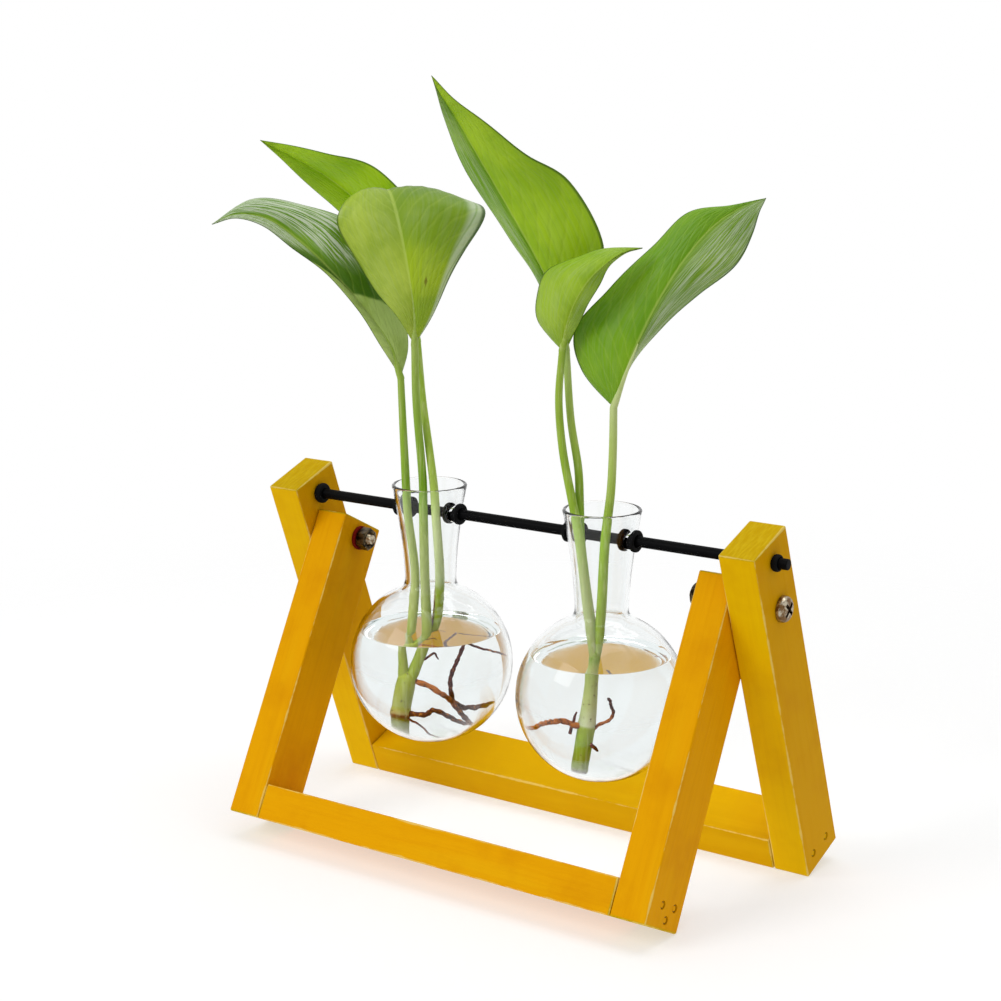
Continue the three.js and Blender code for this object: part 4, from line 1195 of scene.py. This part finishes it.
def leaf_finish(
        name, left_half, right_half, sheen, rim=0.0, folded=None, bent=None, browned=None):
    """A leaf's surface: a deep and a light green for each half, how much painted sheen each half
    and its right rim carry, where it folds over or bends away, both shown with painted shade,
    and where a browned spot lies."""
    blade = Finish(name, Specular_IOR_Level=0.2)
    chart = blade.add("ShaderNodeUVMap", {"uv_map": "leaf_map"})
    across = chart.axis("X") * 2 - 1
    side, along = abs(across), chart.axis("Y")
    upper = blade.add("ShaderNodeAttribute", {"attribute_name": "upper"}, output=2)
    wobble = blade.noise(blade.place, 60, 3)
    vein = vein_place(along, side) + wobble * 1.1
    main_vein = abs(vein.math("FRACT", vein) - 0.5) * 2
    sweep = side * 9 - along * 3.5 + wobble * 0.5
    long_vein = abs(sweep.math("FRACT", sweep) - 0.5) * 2
    patches = blade.noise(blade.place, 42, 3, 0.55)
    halves = [blade.mix(patches.between(0.35, 0.68), *(colour(*shade) for shade in half))
              for half in (left_half, right_half)]
    green = blade.mix(across.between(-0.04, 0.04), *halves)
    if folded:
        past_fold = along - folded + across * 0.15 + wobble * 0.05
        turned_back = blade.mix(
            patches.between(0.4, 0.6), colour(150, 178, 70), colour(172, 196, 108))
        green = blade.mix(past_fold.between(0.02, 0.04), turned_back, green)
        # Painted shade: a dark green band just past the fold, where the blade shades itself.
        shade_past_fold = past_fold.between(0.02, 0.035) * (1 - past_fold.between(0.07, 0.24))
        green = blade.mix(shade_past_fold * 0.85, green, colour(50, 92, 4))
    if bent:
        # Painted shade: darker towards where the blade bends away, with a dark band along the bend.
        shade_towards_bend = along.between(bent - 0.42, bent) * across.between(-0.9, 0.5)
        green = blade.mix(shade_towards_bend * 0.8, green, colour(84, 118, 34))
        shade_at_bend = 1 - abs(along - bent).between(0.0, 0.03)
        green = blade.mix(shade_at_bend * 0.6, green, colour(82, 108, 36))

    strands = blade.add("ShaderNodeCombineXYZ", {}, {0: sweep * 2.2, 1: along * 3})
    strands = blade.noise(strands, 1.6, 4, 0.65)
    # Painted sheen: pale streaks and a right-rim band stand in for the white surroundings'
    # reflection.
    painted_sheen = across.between(-0.2, 0.2) * (sheen[1] - sheen[0]) + sheen[0]
    painted_sheen = painted_sheen * strands.between(0.42, 0.6) * side.between(0.02, 0.3)
    if folded:
        painted_sheen = painted_sheen * past_fold.between(0.1, 0.3)
    painted_sheen = painted_sheen.most(across.between(0.8, 0.9) * rim)
    green = blade.mix(painted_sheen, green, colour(204, 216, 190))
    deep_lines = (1 - long_vein.between(0.0, 0.35)) * (painted_sheen + 0.12)
    green = blade.mix(deep_lines * 0.7, green, colour(96, 138, 30))
    green = blade.mix((1 - main_vein.between(0.0, 0.3)) * 0.1, green, colour(190, 212, 90))
    green = blade.mix(upper, blade.mix(0.3, green, colour(172, 200, 60)), green)
    midrib = 1 - side.between(0.008, 0.035)
    green = blade.mix(midrib * 0.35, green, colour(196, 216, 110))
    green = blade.mix(side.between(0.955, 0.985) * 0.75, green, colour(40, 78, 4))
    if browned:
        from_spot = abs(along - browned[1]) * 16 + abs(across - browned[0]) * 8
        spotted = 1 - (from_spot + patches * 0.5).between(0.5, 0.8)
        green = blade.mix(spotted * 0.7, green, colour(110, 96, 10))
    blade.feed("Base Color", green)
    blade.feed("Roughness", 0.36 + long_vein * 0.08 + patches * 0.12)
    blade.relief(main_vein.between(0.0, 0.4) * 0.3 + long_vein * 0.35, 0.0003)
    return blade.material


# Each leaf's deep and light green on its left half and on its right half, its painted sheen on each
# half, and its marks
leaf_looks = {
    "left": [
        (((112, 150, 30), (136, 168, 60)), ((100, 146, 10), (124, 166, 30)), (3.0, 3.0),
         {"folded": 0.35}),
        (((142, 168, 36), (170, 192, 66)), ((130, 164, 4), (160, 188, 22)), (0.05, 0.05),
         {"rim": 0.6, "bent": 0.72, "browned": (0.45, 0.3)}),
        (((144, 190, 0), (162, 204, 4)), ((146, 194, 0), (168, 210, 6)), (0.05, 0.05), {}),
    ],
    "right": [
        (((130, 168, 16), (158, 192, 40)), ((130, 168, 16), (154, 190, 36)), (0.1, 0.25), {}),
        (((112, 162, 8), (136, 182, 30)), ((142, 184, 6), (166, 204, 20)), (0.42, 0.04), {}),
        # Partly painted sheen: this leaf's greyer right half, over its own green.
        (((100, 150, 2), (122, 168, 10)), ((104, 144, 20), (130, 162, 56)), (0.06, 0.6), {}),
    ],
}

for side_name, place in vases.items():
    for number, (stations, (*look, marks), points, radii, tones) in enumerate(zip(
            leaf_stations[side_name], leaf_looks[side_name], stalks[side_name],
            stalk_radii[side_name], stalk_tones[side_name]), 1):
        start, end = np.array(points[-2:], float)
        base = end + (end - start) / np.linalg.norm(end - start) * 0.3
        skin = leaf_finish(f"{side_name}_leaf_{number}", *look, **marks)
        mesh = leaf_blade(tuple(base), stations, place)
        plant_piece(side_name, f"leaf_{number}", mesh, skin, "leaf")

        _, rib, _, ups = blade_lines(tuple(base), stations)
        steps = np.arange(midrib_rows)
        widths = radii[-1][1] * (1 - steps / midrib_rows) ** 0.8 + 0.12
        sunk = (widths * 0.75 * np.minimum(1, steps / sinking_rows))[:, None]
        line = np.vstack([2 * end - base, rib[:midrib_rows] - ups[:midrib_rows] * sunk])
        shades = np.tile(colour(*tones[-1][1:]), (len(line), 1))
        mesh = grown([(line + place, [widths[0], *widths], shades)], 16, stalk_skin)
        piece(f"{side_name}_midrib_{number}", mesh, stalk_skin, f"{side_name}_vase", "stalk")


# Roots
# Thick dark red-brown roots that curl from the foot of each cutting in the water. The last one of
# the left cutting hangs free beside the others and turns out to the glass.

root_skin = Finish("root_skin", Specular_IOR_Level=0.2)
tone = root_skin.add("ShaderNodeAttribute", {"attribute_name": "tone"})
scales = root_skin.noise(root_skin.place, 620, 3, 0.6)
shade = root_skin.mix(scales.between(0.5, 0.62) * 0.75, tone, colour(34, 8, 0))
# Painted highlight: orange patches at random stand in for the roots' highlights.
shade = root_skin.mix((1 - scales.between(0.34, 0.44)) * 0.6, shade, colour(190, 116, 20))
root_skin.feed("Base Color", shade)
root_skin.feed("Roughness", 0.5 + scales * 0.25)
root_skin.relief(scales, 0.0002)

root_brown, root_red, root_orange = colour(70, 18, 0), colour(84, 14, 0), colour(180, 96, 4)


def wandering(points, count, sway, seed):
    """A smooth path through the points that strays from them by up to sway, in mm."""
    line = through(points, count)
    chance = random.Random(seed)
    lengths = np.concatenate([[0], np.cumsum(np.linalg.norm(np.diff(line, axis=0), axis=1))])
    for wave in (9.0, 4.3, 2.1):
        way = np.array([chance.uniform(-1, 1) for _ in range(3)])
        turn = lengths * (2 * math.pi / wave) + chance.uniform(0, 2 * math.pi)
        line = line + np.outer(np.sin(turn) * np.minimum(1, lengths / 4), way * sway * wave / 9)
    return line


def on_crown(side_name, share):
    """A point inside a crown, at a share of its length."""
    return tuple(through(crowns[side_name], 100)[round(share * 100)])


# Each root's radius in mm at its start and near its end, its two colours, and points along it
roots = {
    "left": [
        ((1.05, 0.9), (root_orange, root_brown),
         [on_crown("left", 0.93), *in_bulb(
             (0.101, -0.031, -0.288), (0.188, 0.086, -0.416), (0.261, 0.17, -0.568),
             (0.308, 0.22, -0.635))]),
        ((1.1, 0.85), (root_red, root_brown),
         [on_crown("left", 0.5), *in_bulb(
             (0.031, -0.203, -0.501), (0.128, -0.166, -0.457), (0.234, -0.09, -0.501),
             (0.306, 0.025, -0.586), (0.364, 0.099, -0.618))]),
        ((0.7, 0.95), (root_red, root_brown), in_bulb(
            (0.212, 0.248, 0.166), (0.185, 0.196, 0.023), (0.144, 0.135, -0.118),
            (0.137, 0.107, -0.26), (0.146, 0.138, -0.397), (0.226, 0.186, -0.464),
            (0.357, 0.255, -0.458), (0.5, 0.357, -0.43))),
    ],
    "right": [
        ((1.1, 0.85), (root_orange, root_orange),
         [on_crown("right", 0.33), *in_bulb(
             (-0.273, -0.388, -0.2), (-0.382, -0.498, -0.24), (-0.573, -0.634, -0.315))]),
        ((0.6, 0.6), (root_orange, root_brown),
         [on_crown("right", 0.3), *in_bulb(
             (0.1, -0.088, -0.22), (0.161, -0.046, -0.118), (0.15, -0.05, -0.04),
             (0.1, -0.06, 0.02))]),
    ],
}
for side_name, place in vases.items():
    for number, (ends, shades, points) in enumerate(roots[side_name], 1):
        line = wandering(points, 90, 0.35, number)
        shares = np.linspace(0, 1, len(line))
        widths = graded(shares, [(0, ends[0]), (0.93, ends[1]), (1, ends[1] * 0.5)])
        widths *= 1 + 0.12 * np.sin(shares * 60 + number)
        tones = graded(shares, list(zip((0.15, 0.6), shades)))
        mesh = grown([(line + place, widths, tones)], 16, root_skin.material)
        plant_piece(side_name, f"root_{number}", mesh, root_skin.material, "root")


# Fine roots
# Hair-thin brown rootlets that drift in the water between the thick ones. Each cutting has a few.

# Each rootlet's radius in mm at its start, and points along it
rootlets = {
    "left": [
        [0.5, *in_bulb((0.236, 0.264, 0.156), (0.341, 0.308, 0.114), (0.557, 0.397, 0.082),
                       (0.7, 0.45, 0.06))],
        [0.5, *in_bulb((-0.16, -0.24, -0.55), (-0.111, -0.24, -0.548), (0.029, -0.204, -0.639),
                       (0.11, -0.147, -0.736), (0.2, -0.08, -0.79))],
        [0.55, *in_bulb((-0.1, -0.17, 0.0), (0.013, -0.119, 0.053), (0.086, -0.067, 0.104),
                        (0.118, -0.044, 0.042))],
        [0.35, (0.6, -3.0, -61.5), (3.2, -1.4, -60.9), (6.5, 1.0, -61.0), (7.5, 1.8, -62.5)],
        [0.35, (0.4, -3.0, -62), (2.0, -2.4, -61.3), (3.8, -1.4, -61.4)],
    ],
    "right": [
        [0.7, *in_bulb((-0.17, -0.27, -0.33), (-0.15, -0.26, -0.24), (-0.12, -0.24, -0.12))],
        [0.9, on_crown("right", 0.25),
         *in_bulb((0.004, -0.158, -0.432), (0.064, -0.148, -0.493))],
    ],
}
for side_name, place in vases.items():
    paths = []
    for number, (width, *points) in enumerate(rootlets[side_name]):
        line = wandering(points, 60, 0.3, number + 10)
        shares = np.linspace(0, 1, len(line))
        widths = graded(shares, [(0, width), (0.8, width * 0.75), (1, width * 0.4)])
        paths.append((line + place, widths, np.tile(root_red, (len(line), 1))))
    mesh = grown(paths, 10, root_skin.material)
    piece(f"{side_name}_fine_roots", mesh, root_skin.material, f"{side_name}_vase", "root")
